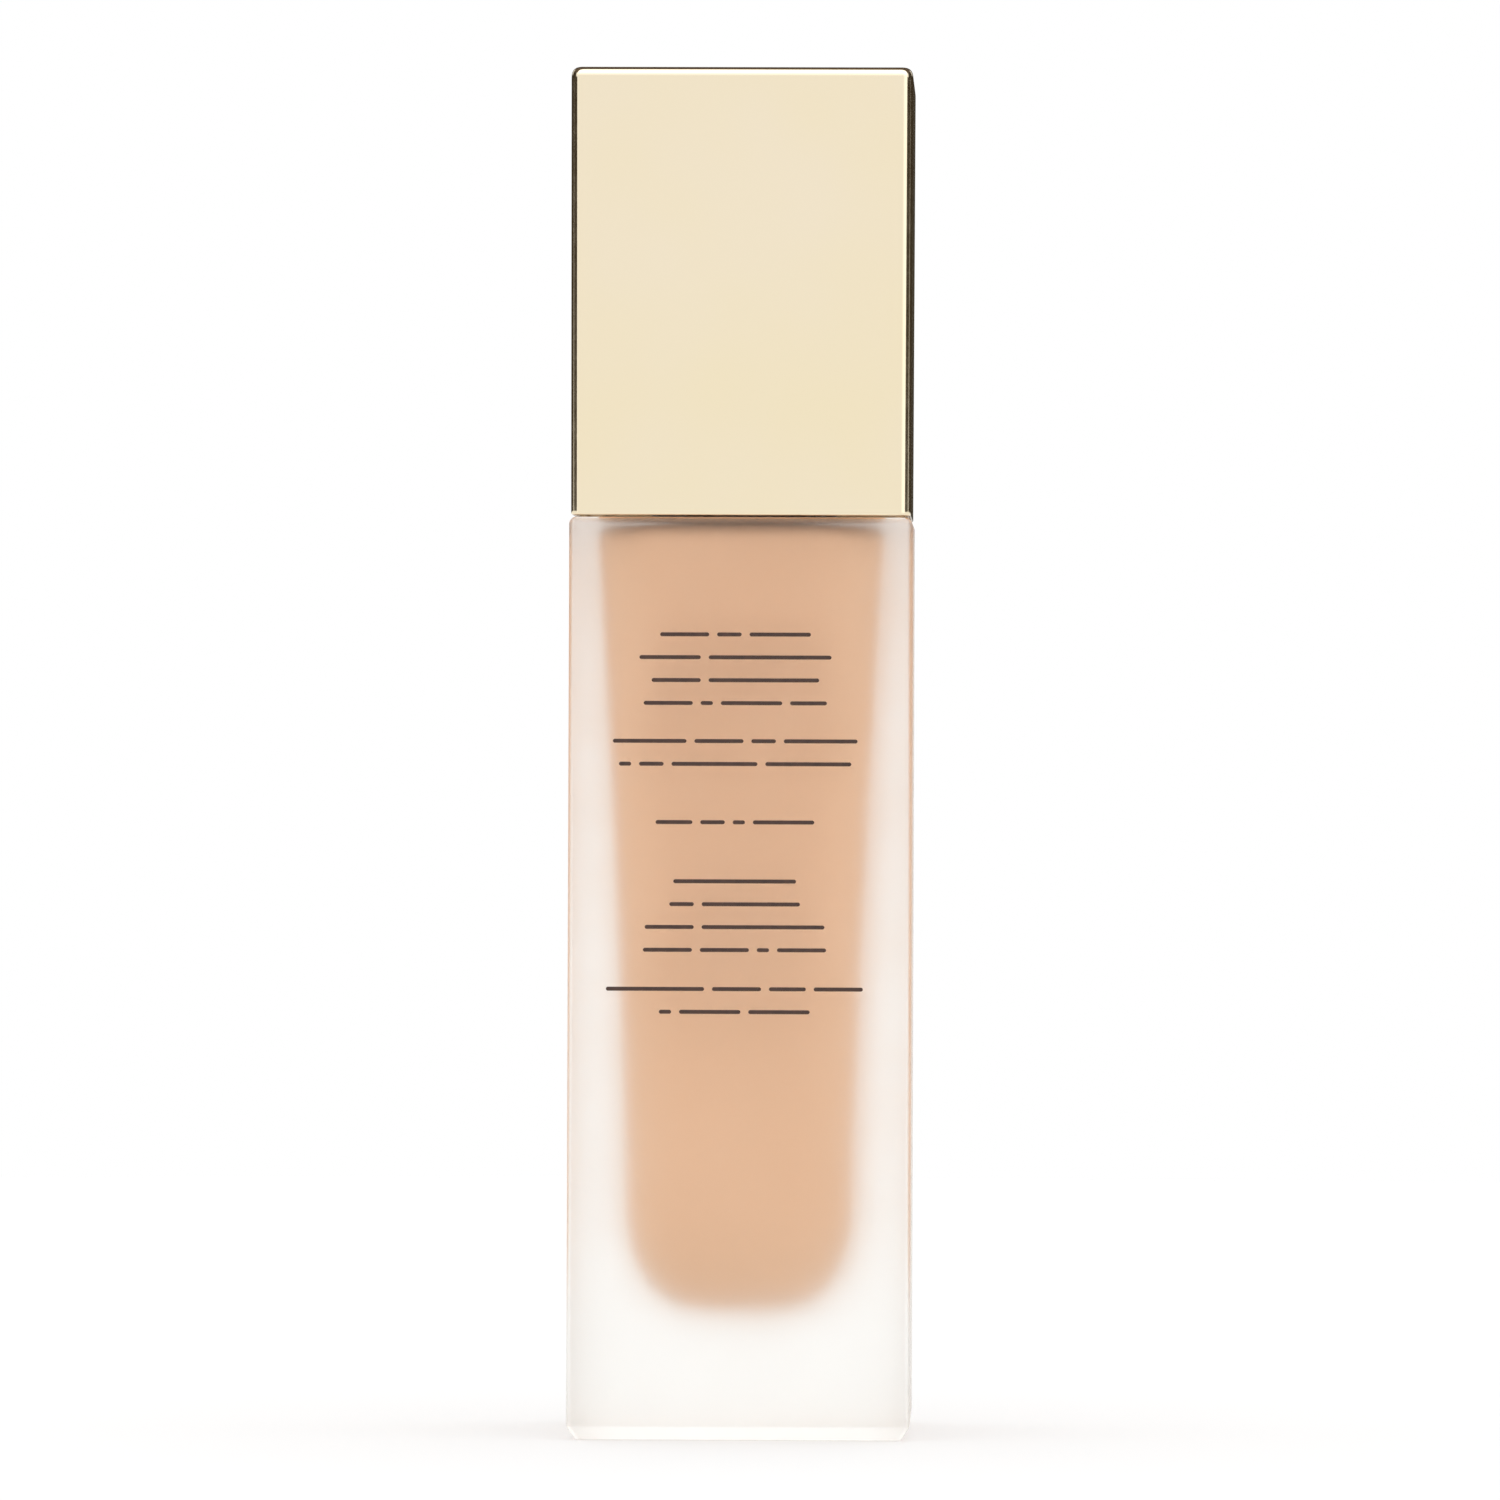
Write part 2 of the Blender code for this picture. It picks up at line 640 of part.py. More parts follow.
def make_pump_stem():
    """The hollow stem, with the ring that pushes the piston and slots at its foot."""
    socket_roof = STEM_BOTTOM_Z + STEM_SOCKET_DEPTH
    taper = socket_roof + STEM_SOCKET - STEM_BORE
    profile = [
        (STEM_RADIUS, STEM_TOP_Z),
        (STEM_RADIUS, RING_TOP_Z),
        (SHOULDER_RING, RING_TOP_Z),
        (SHOULDER_RING, RING_Z),
        (STEM_RADIUS, RING_Z),
        (STEM_RADIUS, STEM_BOTTOM_Z),
        (STEM_SOCKET, STEM_BOTTOM_Z),
        (STEM_SOCKET, socket_roof),
        (STEM_BORE, taper),
        (STEM_BORE, STEM_TOP_Z),
    ]
    stem = turned("pump_stem", profile, 24)
    length, height = 3 * STEM_RADIUS, 2 * STEM_SLOT_HEIGHT
    for label, size in (("x", (length, STEM_SLOT_WIDTH, height)),
                        ("y", (STEM_SLOT_WIDTH, length, height))):
        slot = box("stem_slot_" + label, size, (0, 0, STEM_BOTTOM_Z))
        boolean(stem, slot, "DIFFERENCE")
    return stem


def make_stem_plug():
    """The lower stem: a spigot in the stem, the valve head and a tail inside the spring."""
    spigot_top = STEM_BOTTOM_Z + PLUG_SPIGOT_HEIGHT
    head_top = STEM_BOTTOM_Z - GAP
    head_bottom = head_top - PLUG_HEAD
    profile = [
        (0.0, spigot_top),
        (PLUG_SPIGOT, spigot_top),
        (PLUG_SPIGOT, head_top),
        (PLUG_HEAD_RADIUS, head_top),
        (PLUG_HEAD_RADIUS, head_bottom),
        (PLUG_TAIL_RADIUS, head_bottom),
        (PLUG_TAIL_RADIUS, PLUG_BOTTOM_Z + PLUG_TAIL_TIP),
        (PLUG_TAIL_RADIUS - PLUG_TAIL_TIP, PLUG_BOTTOM_Z),
        (0.0, PLUG_BOTTOM_Z),
    ]
    return turned("stem_plug", profile, 24)


def make_piston():
    """The piston: a hub on the stem and a sealing lip at each end of its rim."""
    low, high = STEM_BOTTOM_Z, STEM_BOTTOM_Z + PISTON_HEIGHT
    waist = PISTON_RADIUS - PISTON_WAIST
    waist_inset = LIP_HEIGHT + PISTON_WAIST
    lip = PISTON_RADIUS - LIP_TOP
    hub = PISTON_BORE + PISTON_HUB
    profile = [
        (PISTON_RADIUS, high),
        (PISTON_RADIUS, high - LIP_HEIGHT),
        (waist, high - waist_inset),
        (waist, low + waist_inset),
        (PISTON_RADIUS, low + LIP_HEIGHT),
        (PISTON_RADIUS, low),
        (lip, low),
        (lip - LIP_TAPER, low + PISTON_GROOVE),
        (hub, low + PISTON_GROOVE),
        (hub, low),
        (PISTON_BORE, low),
        (PISTON_BORE, high),
        (hub, high),
        (hub, high - PISTON_GROOVE),
        (lip - LIP_TAPER, high - PISTON_GROOVE),
        (lip, high),
    ]
    return turned("piston", profile, 32)


def make_actuator_core():
    """The plastic head: a skirt that drops over the chaplet, and a boss on the stem."""
    profile = [
        (0.0, CORE_TOP_Z),
        (CORE_RADIUS - CORE_EDGE, CORE_TOP_Z),
        (CORE_RADIUS, CORE_TOP_Z - CORE_EDGE),
        (CORE_RADIUS, HEAD_BOTTOM_Z),
        (CORE_SKIRT_BORE, HEAD_BOTTOM_Z),
        (CORE_SKIRT_BORE, CORE_HOLLOW_Z),
        (BOSS_RADIUS, CORE_HOLLOW_Z),
        (BOSS_RADIUS, BOSS_BOTTOM_Z),
        (STEM_RADIUS + GAP, BOSS_BOTTOM_Z),
        (STEM_RADIUS + GAP, STEM_TOP_Z + GAP),
        (STEM_BORE, STEM_TOP_Z + GAP),
        (STEM_BORE, NOZZLE_Z),
        (0.0, NOZZLE_Z),
    ]
    core = turned("actuator_core", profile, 32)
    seat = rod("nozzle_seat", NOZZLE_RADIUS + GAP,
               (0, -(NOZZLE_INNER - GAP), NOZZLE_Z), (0, -(CORE_RADIUS + 1), NOZZLE_Z), 20)
    way = rod("outlet_way", NOZZLE_BORE, (0, 0.3, NOZZLE_Z), (0, -NOZZLE_INNER, NOZZLE_Z), 16)
    boolean(core, seat, "DIFFERENCE")
    boolean(core, way, "DIFFERENCE")
    return core


def make_actuator_shell():
    """The metal skin of the head, with a dished top for the finger."""
    rest = HEAD_RADIUS - HEAD_EDGE
    steps = 4

    def dish(radius, drop):
        return HEAD_TOP_Z - HEAD_DISH * (1 - (radius / rest) ** 2) - drop

    radii = [rest * step / steps for step in range(steps + 1)]
    outer = [(radius, dish(radius, 0.0)) for radius in radii]
    outer += arc((rest, HEAD_TOP_Z - HEAD_EDGE), HEAD_EDGE, 60, 0, 2)
    inner_radius = HEAD_RADIUS - HEAD_WALL
    inner = [(inner_radius, HEAD_BOTTOM_Z), (inner_radius, HEAD_TOP_Z - HEAD_EDGE)]
    inner += [(radius, dish(radius, HEAD_WALL)) for radius in reversed(radii)]
    shell = turned("actuator_shell", outer + [(HEAD_RADIUS, HEAD_BOTTOM_Z)] + inner, 40)
    window = rod("nozzle_window", NOZZLE_RADIUS + GAP,
                 (0, -NOZZLE_INNER, NOZZLE_Z), (0, -(HEAD_RADIUS + 1), NOZZLE_Z), 20)
    boolean(shell, window, "DIFFERENCE")
    return shell


def make_nozzle():
    """The spout: a short tube that lies along -Y."""
    length = NOZZLE_TIP - NOZZLE_INNER
    profile = arc((NOZZLE_RADIUS - NOZZLE_EDGE, length - NOZZLE_EDGE), NOZZLE_EDGE, 90, 0, 2)
    profile += [(NOZZLE_RADIUS, 0.0), (NOZZLE_BORE, 0.0), (NOZZLE_BORE, length)]
    nozzle = turned("nozzle_insert", profile, 24)
    nozzle.rotation_euler.x = math.radians(90)
    nozzle.location = (0.0, -NOZZLE_INNER * MM, NOZZLE_Z * MM)
    return nozzle


# --- Closure and overcap -------------------------------------------------------------------


def make_screw_closure():
    """The threaded closure that clamps the housing's flange to the neck."""
    edge = 0.6
    profile = [
        (CLOSURE_RADIUS - edge, CLOSURE_TOP_Z),
        (CLOSURE_RADIUS, CLOSURE_TOP_Z - edge),
        (CLOSURE_RADIUS, CLOSURE_BOTTOM_Z),
        (CLOSURE_BORE, CLOSURE_BOTTOM_Z),
        (CLOSURE_BORE, CLOSURE_ROOF_Z),
        (PUMP_HOLE, CLOSURE_ROOF_Z),
        (PUMP_HOLE, CLOSURE_TOP_Z),
    ]
    closure = turned("screw_closure", profile, 48)
    ridge = thread_ridge("closure_thread", CLOSURE_BORE, -0.5, THREAD_TURNS - 0.5, -1)
    boolean(closure, ridge, "UNION")
    return closure


def make_collar_ferrule():
    """The metal sleeve over the closure."""
    bore = FERRULE_RADIUS - FERRULE_WALL
    outside, inside = FERRULE_EDGE, FERRULE_EDGE - FERRULE_WALL
    profile = [(PUMP_HOLE, FERRULE_TOP_Z)]
    profile += arc((FERRULE_RADIUS - outside, FERRULE_TOP_Z - outside), outside, 90, 0, 3)
    profile += [(FERRULE_RADIUS, CLOSURE_BOTTOM_Z), (bore, CLOSURE_BOTTOM_Z)]
    profile += arc((bore - inside, FERRULE_ROOF_Z - inside), inside, 0, 90, 2)
    profile += [(PUMP_HOLE, FERRULE_ROOF_Z)]
    return turned("collar_ferrule", profile, 48)


def make_overcap_shell():
    """The square gold shell."""
    return open_box("overcap_shell", CAP_WIDTH_BOTTOM, CAP_WIDTH_TOP, CAP_BOTTOM_Z, CAP_TOP_Z,
                    CAP_EDGE, CAP_WALL)


def make_overcap_liner():
    """The moulded insert: a square cup, a round sleeve that grips the collar, and four ribs."""
    liner = open_box("overcap_liner", LINER_WIDTH, LINER_WIDTH, LINER_BOTTOM_Z, LINER_TOP_Z,
                     LINER_EDGE, LINER_WALL)
    roof = LINER_TOP_Z - LINER_WALL / 2  # the sleeve and the ribs end inside the cup's roof
    wall = [(SLEEVE_RADIUS, roof), (SLEEVE_RADIUS, SLEEVE_BOTTOM_Z),
            (SLEEVE_BORE, SLEEVE_BOTTOM_Z), (SLEEVE_BORE, roof)]
    boolean(liner, turned("sleeve", wall, 48, cutters), "UNION")
    # Each rib runs from inside the sleeve's wall to inside the cup's corner.
    start = SLEEVE_RADIUS - 0.4
    end = (LINER_WIDTH / 2 - LINER_WALL) * math.sqrt(2)
    for quarter in range(4):
        angle = math.radians(45 + 90 * quarter)
        reach = (start + end) / 2
        middle = (reach * math.cos(angle), reach * math.sin(angle), (RIB_BOTTOM_Z + roof) / 2)
        rib = box("rib_%d" % quarter, (end - start, RIB_THICK, roof - RIB_BOTTOM_Z), middle)
        rib.rotation_euler.z = angle
        boolean(liner, rib, "UNION")
    return liner


# --- Assembly ------------------------------------------------------------------------------

frosted_glass = material("frosted_glass", (0.93, 0.91, 0.88), 0.45, transmission=1.0)
foundation = material("foundation", (0.73, 0.45, 0.29), 0.4)
gold = material("champagne_gold", (0.88, 0.78, 0.60), 0.25, metallic=1.0)
white_plastic = material("white_plastic", (0.85, 0.85, 0.83), 0.4)
clear_plastic = material("natural_plastic", (0.80, 0.80, 0.78), 0.35, transmission=0.5)
steel = material("spring_steel", (0.60, 0.60, 0.62), 0.25, metallic=1.0)
rubber = material("gasket_foam", (0.75, 0.75, 0.72), 0.8)

bottle = [
    finish(make_glass_bottle(), frosted_glass),
    finish(make_liquid(), foundation),
]
pump_body = [
    finish(make_pump_housing(), white_plastic),
    finish(make_dip_tube(), clear_plastic),
    finish(make_gasket(), rubber),
    finish(make_chaplet(), white_plastic),
]
spring = make_return_spring()
spring.data.materials.append(steel)
pump_body.append(spring)
ball = [finish(make_inlet_ball(), steel)]
plunger = [
    finish(make_pump_stem(), white_plastic),
    finish(make_stem_plug(), white_plastic),
]
piston = [finish(make_piston(), clear_plastic)]
head = [
    finish(make_actuator_core(), white_plastic),
    finish(make_actuator_shell(), gold),
    finish(make_nozzle(), white_plastic),
]
closure = [
    finish(make_screw_closure(), white_plastic),
    finish(make_collar_ferrule(), gold),
]
overcap = [
    finish(make_overcap_shell(), gold),
    finish(make_overcap_liner(), white_plastic),
]

carry(axis_empty("bottle_base", 0.0), *bottle)
carry(axis_empty("pump_axis", SHOULDER_Z), *pump_body)
carry(axis_empty("ball_axis", BALL_Z), *ball)
carry(axis_empty("stem_axis", STEM_BOTTOM_Z), *plunger)
carry(axis_empty("piston_axis", STEM_BOTTOM_Z), *piston)
carry(axis_empty("head_axis", HEAD_BOTTOM_Z), *head)
carry(axis_empty("closure_axis", CLOSURE_BOTTOM_Z), *closure)
carry(axis_empty("overcap_axis", CAP_BOTTOM_Z), *overcap)
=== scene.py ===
"""The looks of the foundation bottle: frosted glass, tinted liquid, champagne gold and the pump.

Metres and +Z up, in the frame's own axes. Sizes below are in millimetres and MM makes metres of
them. Heights are measured from the surface that the bottle stands on.
"""

import math

import bmesh
import bpy
from mathutils import Matrix, Vector


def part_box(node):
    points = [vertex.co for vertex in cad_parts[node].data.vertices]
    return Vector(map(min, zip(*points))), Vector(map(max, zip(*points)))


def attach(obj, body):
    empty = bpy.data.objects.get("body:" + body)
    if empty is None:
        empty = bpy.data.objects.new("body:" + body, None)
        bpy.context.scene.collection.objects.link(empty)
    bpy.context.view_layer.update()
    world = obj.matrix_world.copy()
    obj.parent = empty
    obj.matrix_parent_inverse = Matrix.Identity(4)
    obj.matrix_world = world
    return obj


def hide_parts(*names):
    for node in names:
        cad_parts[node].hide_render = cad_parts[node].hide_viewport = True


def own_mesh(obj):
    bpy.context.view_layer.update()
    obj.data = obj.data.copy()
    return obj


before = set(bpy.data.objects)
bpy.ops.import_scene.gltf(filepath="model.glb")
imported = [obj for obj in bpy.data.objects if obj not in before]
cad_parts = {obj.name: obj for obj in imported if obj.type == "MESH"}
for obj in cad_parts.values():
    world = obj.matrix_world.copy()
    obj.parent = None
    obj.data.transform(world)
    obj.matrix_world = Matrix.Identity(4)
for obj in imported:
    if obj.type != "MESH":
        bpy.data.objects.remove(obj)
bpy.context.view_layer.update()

MM = 0.001

# --- Places taken from the frame, in millimetres -------------------------------------------


def low(node):
    """Lowest corner of a CAD node, in millimetres."""
    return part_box(node)[0] / MM


def high(node):
    """Highest corner of a CAD node, in millimetres."""
    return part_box(node)[1] / MM


GLASS_HALF = high("glass_bottle").x
NECK_TOP = high("glass_bottle").z
SHOULDER = 88.0
SHOULDER_EDGE = 0.7  # radius of the edge between the body and its shoulder
BODY_CORNER = 0.5  # radius of the body's four upright edges
BASE_CHAMFER_WIDTH = 0.8
BASE_CHAMFER_HEIGHT = 1.3
FROST_TOP = 87.9  # the etching stops where the shoulder turns flat
NECK_RADIUS = 8.95
NECK_BORE = 7.0

CAVITY_FLOOR = 12.0
CAVITY_ROUND = 22.5  # the rounded bottom ends and the walls begin here
CAVITY_CEILING = 87.2  # 0.8 mm above the CAD one
CAVITY_CEILING_EDGE = 1.4
CAVITY_HALF_LOW = 11.0  # half the width where the walls begin
CAVITY_HALF_GAIN = 2.8  # what it has gained at the ceiling
CAVITY_FLARE = 1.3  # above 1, so that the walls flare more towards the ceiling
CAVITY_BOTTOM_SHAPE = 3.5  # above 2, so that the bottom is squarer than an ellipse
CAVITY_CORNER = 6.0
WETTED = 0.05  # how far the liquid's skin reaches into the glass, so that no air shows between

THREAD_PITCH = 25.4 / 8
THREAD_TURNS = 1.5
THREAD_START = 94.4

NOZZLE_HEIGHT = (low("nozzle_insert").z + high("nozzle_insert").z) / 2
STEM_TOP = high("pump_stem").z

CAP_TRIM = 0.1  # the drawn shell is this much smaller on each side than the CAD one
CAP_TOP = high("overcap_shell").z - CAP_TRIM
CAP_BOTTOM = low("overcap_shell").z - 0.12  # the shell's rim all but touches the shoulder
CAP_HALF_TOP = high("overcap_shell").x - CAP_TRIM
CAP_HALF_BOTTOM = CAP_HALF_TOP - 0.1
CAP_EDGE = 1.2  # how far the rounding of the shell's outer edges reaches
CAP_EDGE_SHAPE = 0.62  # above a half, so that the edge turns in gently and then tightly
CAP_WALL = 0.6


# --- Mesh helpers --------------------------------------------------------------------------


def link(name, mesh):
    """A new object from a mesh."""
    made = bpy.data.objects.new(name, mesh)
    bpy.context.scene.collection.objects.link(made)
    return made


def mesh_from(bm, name):
    """Turns a bmesh into a mesh and frees it."""
    mesh = bpy.data.meshes.new(name)
    bm.to_mesh(mesh)
    bm.free()
    return mesh


def smooth(made):
    """Smooth shading that keeps corners sharper than 35 degrees."""
    made.data.shade_smooth()
    made.data.set_sharp_from_angle(angle=math.radians(35))


def arc(centre, radius, start, end, steps):
    """Points of (radius, height) along an arc between two angles in degrees."""
    points = []
    for step in range(steps + 1):
        angle = math.radians(start + (end - start) * step / steps)
        points.append((centre[0] + radius * math.cos(angle), centre[1] + radius * math.sin(angle)))
    return points


def turned(name, profile, steps=96):
    """Turns a profile of (radius, height) about the axis. It runs down its outer side."""
    bm = bmesh.new()
    line = [bm.verts.new((radius * MM, 0, height * MM)) for radius, height in profile]
    edges = [bm.edges.new(pair) for pair in zip(line, line[1:])]
    if profile[0][0] > 0:
        edges.append(bm.edges.new((line[-1], line[0])))
    bmesh.ops.spin(bm, geom=line + edges, cent=(0, 0, 0), axis=(0, 0, 1),
                   angle=2 * math.pi, steps=steps, use_merge=True)
    bmesh.ops.remove_doubles(bm, verts=bm.verts, dist=1e-7)
    bmesh.ops.recalc_face_normals(bm, faces=bm.faces)
    return link(name, mesh_from(bm, name))


def rod(radius, start, end, steps=48):
    """A cylinder between two points, to cut with."""
    start, end = Vector(start) * MM, Vector(end) * MM
    run = end - start
    place = Matrix.Translation((start + end) / 2) @ run.to_track_quat("Z", "Y").to_matrix().to_4x4()
    bm = bmesh.new()
    bmesh.ops.create_cone(bm, cap_ends=True, segments=steps, radius1=radius * MM,
                          radius2=radius * MM, depth=run.length, matrix=place)
    return link("tool", mesh_from(bm, "tool"))


def block(size, centre, angle=0.0):
    """A box turned about Z, to join or cut with."""
    bm = bmesh.new()
    bmesh.ops.create_cube(bm, size=1.0)
    bmesh.ops.scale(bm, vec=Vector(size) * MM, verts=bm.verts)
    place = Matrix.Translation(Vector(centre) * MM) @ Matrix.Rotation(angle, 4, "Z")
    bmesh.ops.transform(bm, matrix=place, verts=bm.verts)
    return link("tool", mesh_from(bm, "tool"))


def apply_modifiers(made):
    """Replaces an object's mesh by what its modifiers make of it."""
    bpy.context.view_layer.update()
    result = bpy.data.meshes.new_from_object(
        made.evaluated_get(bpy.context.evaluated_depsgraph_get()))
    made.modifiers.clear()
    made.data = result
    return made


def boolean(made, tool, operation):
    """Joins a tool to an object or cuts it away, and removes the tool."""
    step = made.modifiers.new(operation, "BOOLEAN")
    step.operation = operation
    step.solver = "EXACT"
    step.object = tool
    apply_modifiers(made)
    bpy.data.objects.remove(tool, do_unlink=True)


def bevel(made, width, segments, shape=0.5):
    """Rounds an object's edges that are sharper than 40 degrees."""
    step = made.modifiers.new("edges", "BEVEL")
    step.width = width * MM
    step.segments = segments
    step.profile = shape
    step.limit_method = "ANGLE"
    step.angle_limit = math.radians(40)
    apply_modifiers(made)


def thread_ridge(wall, first_turn, last_turn, outward):
    """A helical ridge with a rounded crest, faded out at both ends.

    outward is 1 for a ridge on the neck, or -1 for one inside the closure, which runs half a
    pitch lower.
    """
    per_turn = 72
    root, depth, half_width = 0.4, 0.9, 0.75  # root is how far the ridge is sunk in the wall
    crest_half, crest_round = 0.42, 0.25
    end_share = 0.15  # of the ridge's section left at its two ends
    fade_steps = 12
    steps = round((last_turn - first_turn) * per_turn)
    drop = 0.0 if outward > 0 else THREAD_PITCH / 2
    section = [(0.0, -half_width)]
    for degrees in range(-90, 91, 30):
        along = crest_half * math.sin(math.radians(degrees))
        across = root + depth - crest_round * (1 - math.cos(math.radians(degrees)))
        section.append((across, along))
    section.append((0.0, half_width))
    bm = bmesh.new()
    rings = []
    for step in range(steps + 1):
        turn = first_turn + step / per_turn
        angle = 2 * math.pi * turn
        fade = min(1.0, end_share + (1 - end_share) * min(step, steps - step) / fade_steps)
        ring = []
        for across, along in section:
            radius = wall + outward * (across * fade - root)
            height = THREAD_START + turn * THREAD_PITCH - drop + along * fade
            ring.append(bm.verts.new(Vector(
                (radius * math.cos(angle), radius * math.sin(angle), height)) * MM))
        rings.append(ring)
    for before, after in zip(rings, rings[1:]):
        for index in range(len(section)):
            other = (index + 1) % len(section)
            bm.faces.new((before[index], before[other], after[other], after[index]))
    bm.faces.new(rings[0])
    bm.faces.new(reversed(rings[-1]))
    bmesh.ops.recalc_face_normals(bm, faces=bm.faces)
    return link("tool", mesh_from(bm, "tool"))


# --- Materials -----------------------------------------------------------------------------


def ramp_of(nodes, stops):
    """A ramp from stops of (position, grey or colour)."""
    ramp = nodes.new("ShaderNodeValToRGB")
    elements = ramp.color_ramp.elements
    while len(elements) < len(stops):
        elements.new(0.5)
    for element, (place, colour) in zip(elements, stops):
        element.position = place
        element.color = (*colour, 1.0) if isinstance(colour, tuple) else (colour,) * 3 + (1.0,)
    return ramp


class Paint:
    """A material's node tree, with short calls for what most of the materials share."""

    def __init__(self, name):
        self.material = bpy.data.materials.new(name)
        self.material.use_nodes = True
        self.nodes = self.material.node_tree.nodes
        self.links = self.material.node_tree.links
        self.shader = self.nodes["Principled BSDF"]
        self.place = self.nodes.new("ShaderNodeTexCoord").outputs["Object"]

    def set(self, **values):
        """Sets sockets of the shader that are the same all over."""
        for name, value in values.items():
            self.shader.inputs[name.replace("_", " ")].default_value = value
        return self

    def noise(self, scale, detail=4.0, stretch=(1, 1, 1)):
        """A noise pattern, with its scale in waves to the metre."""
        mapping = self.nodes.new("ShaderNodeMapping")
        mapping.inputs["Scale"].default_value = stretch
        self.links.new(self.place, mapping.inputs["Vector"])
        noise = self.nodes.new("ShaderNodeTexNoise")
        noise.inputs["Scale"].default_value = scale
        noise.inputs["Detail"].default_value = detail
        self.links.new(mapping.outputs["Vector"], noise.inputs["Vector"])
        return noise.outputs["Fac"]

    def ramp(self, source, first, last, start=0.3, end=0.7):
        """Maps a pattern to a run of colours or greys between two stops."""
        ramp = ramp_of(self.nodes, ((start, first), (end, last)))
        self.links.new(source, ramp.inputs["Fac"])
        return ramp.outputs["Color"]

    def above(self, height, soft):
        """A mask that is 0 below a height in the object's own frame and 1 above it."""
        split = self.nodes.new("ShaderNodeSeparateXYZ")
        self.links.new(self.place, split.inputs["Vector"])
        step = self.nodes.new("ShaderNodeMapRange")
        step.inputs["From Min"].default_value = (height - soft) * MM
        step.inputs["From Max"].default_value = height * MM
        self.links.new(split.outputs["Z"], step.inputs["Value"])
        return step.outputs["Result"]

    def mix(self, mask, first, last):
        """Goes from the first value to the last as the mask rises. Either may be a number."""
        mix = self.nodes.new("ShaderNodeMix")
        self.links.new(mask, mix.inputs["Factor"])
        for socket, value in ((mix.inputs["A"], first), (mix.inputs["B"], last)):
            if isinstance(value, float):
                socket.default_value = value
            else:
                self.links.new(value, socket)
        return mix.outputs["Result"]

    def drive(self, socket, source):
        """Feeds a socket of the shader from a pattern."""
        self.links.new(source, self.shader.inputs[socket])
        return self

    def bump(self, source, height, strength=1.0):
        """Raises the surface by a pattern, with its height in millimetres."""
        bump = self.nodes.new("ShaderNodeBump")
        bump.inputs["Distance"].default_value = height * MM
        if isinstance(strength, float):
            bump.inputs["Strength"].default_value = strength
        else:
            self.links.new(strength, bump.inputs["Strength"])
        self.links.new(source, bump.inputs["Height"])
        self.links.new(bump.outputs["Normal"], self.shader.inputs["Normal"])
        return self


def frosted_glass():
    """Acid-etched glass, a little cloudier in patches, left clear on the shoulder and the neck, where
    a warm tint is painted shade.
    """
    paint = Paint("frosted_glass")
    paint.set(Transmission_Weight=1.0, IOR=1.5)
    clear = paint.above(FROST_TOP, 0.1)
    # The clear shoulder and neck get a warm tint: painted shade that browns the band just under the
    # cap.
    paint.drive("Base Color", paint.ramp(clear, (0.985, 0.98, 0.955), (0.96, 0.86, 0.76), 0, 1))
    paint.drive("Roughness", paint.mix(clear, paint.ramp(paint.noise(140), 0.50, 0.58), 0.06))
    paint.bump(paint.noise(5200, detail=2.0), 0.004, paint.mix(clear, 0.25, 0.02))
    return paint.material


def foundation():
    """Opaque tinted cream, very slightly uneven where it wets the glass."""
    paint = Paint("foundation")
    paint.set(Roughness=0.5, Specular_IOR_Level=0.2)
    paint.drive("Base Color", paint.ramp(paint.noise(70, detail=3.0),
                                         (0.92, 0.590, 0.380), (0.95, 0.620, 0.410)))
    return paint.material


def champagne_gold(name, base, tint, roughness):
    """Champagne gold, a little cloudy in colour, with a very fine grain in its lustre."""
    paint = Paint(name)
    paint.set(Metallic=1.0)
    paint.drive("Base Color", paint.ramp(paint.noise(42, detail=2.0), base, tint))
    grain = paint.noise(900, detail=3.0)
    paint.drive("Roughness", paint.ramp(grain, roughness - 0.02, roughness + 0.02))
    paint.bump(paint.noise(2600, detail=2.0), 0.002, 0.05)
    return paint.material


def moulded_plastic(name, colour, shade, roughness, transmission=0.0):
    """Moulded plastic with a faint spark-eroded grain."""
    paint = Paint(name)
    if transmission:
        paint.set(Transmission_Weight=transmission, IOR=1.5)
    paint.drive("Base Color", paint.ramp(paint.noise(160, detail=3.0), colour, shade))
    paint.drive("Roughness", paint.ramp(paint.noise(700), roughness - 0.04, roughness + 0.06))
    paint.bump(paint.noise(3800, detail=2.0), 0.006, 0.3)
    return paint.material


def spring_steel():
    """Drawn stainless wire and ball: bright, with faint drawing marks."""
    paint = Paint("spring_steel")
    paint.set(Metallic=1.0)
    paint.drive("Base Color", paint.ramp(paint.noise(300), (0.55, 0.55, 0.56), (0.63, 0.62, 0.61)))
    paint.drive("Roughness", paint.ramp(paint.noise(1800, stretch=(1, 1, 6)), 0.16, 0.3))
    return paint.material


def gasket_foam():
    """Closed-cell foam washer."""
    paint = Paint("gasket_foam")
    paint.drive("Base Color", paint.ramp(paint.noise(900), (0.72, 0.71, 0.68), (0.82, 0.81, 0.78)))
    paint.drive("Roughness", paint.ramp(paint.noise(2000), 0.75, 0.95))
    paint.bump(paint.noise(2400), 0.05, 0.7)
    return paint.material


def printing_ink():
    """Dark brown screen-printed ink, a touch uneven."""
    paint = Paint("printing_ink")
    paint.drive("Base Color", paint.ramp(paint.noise(1500), (0.035, 0.014, 0.008),
                                         (0.060, 0.026, 0.016)))
    paint.drive("Roughness", paint.ramp(paint.noise(3000), 0.38, 0.5))
    return paint.material


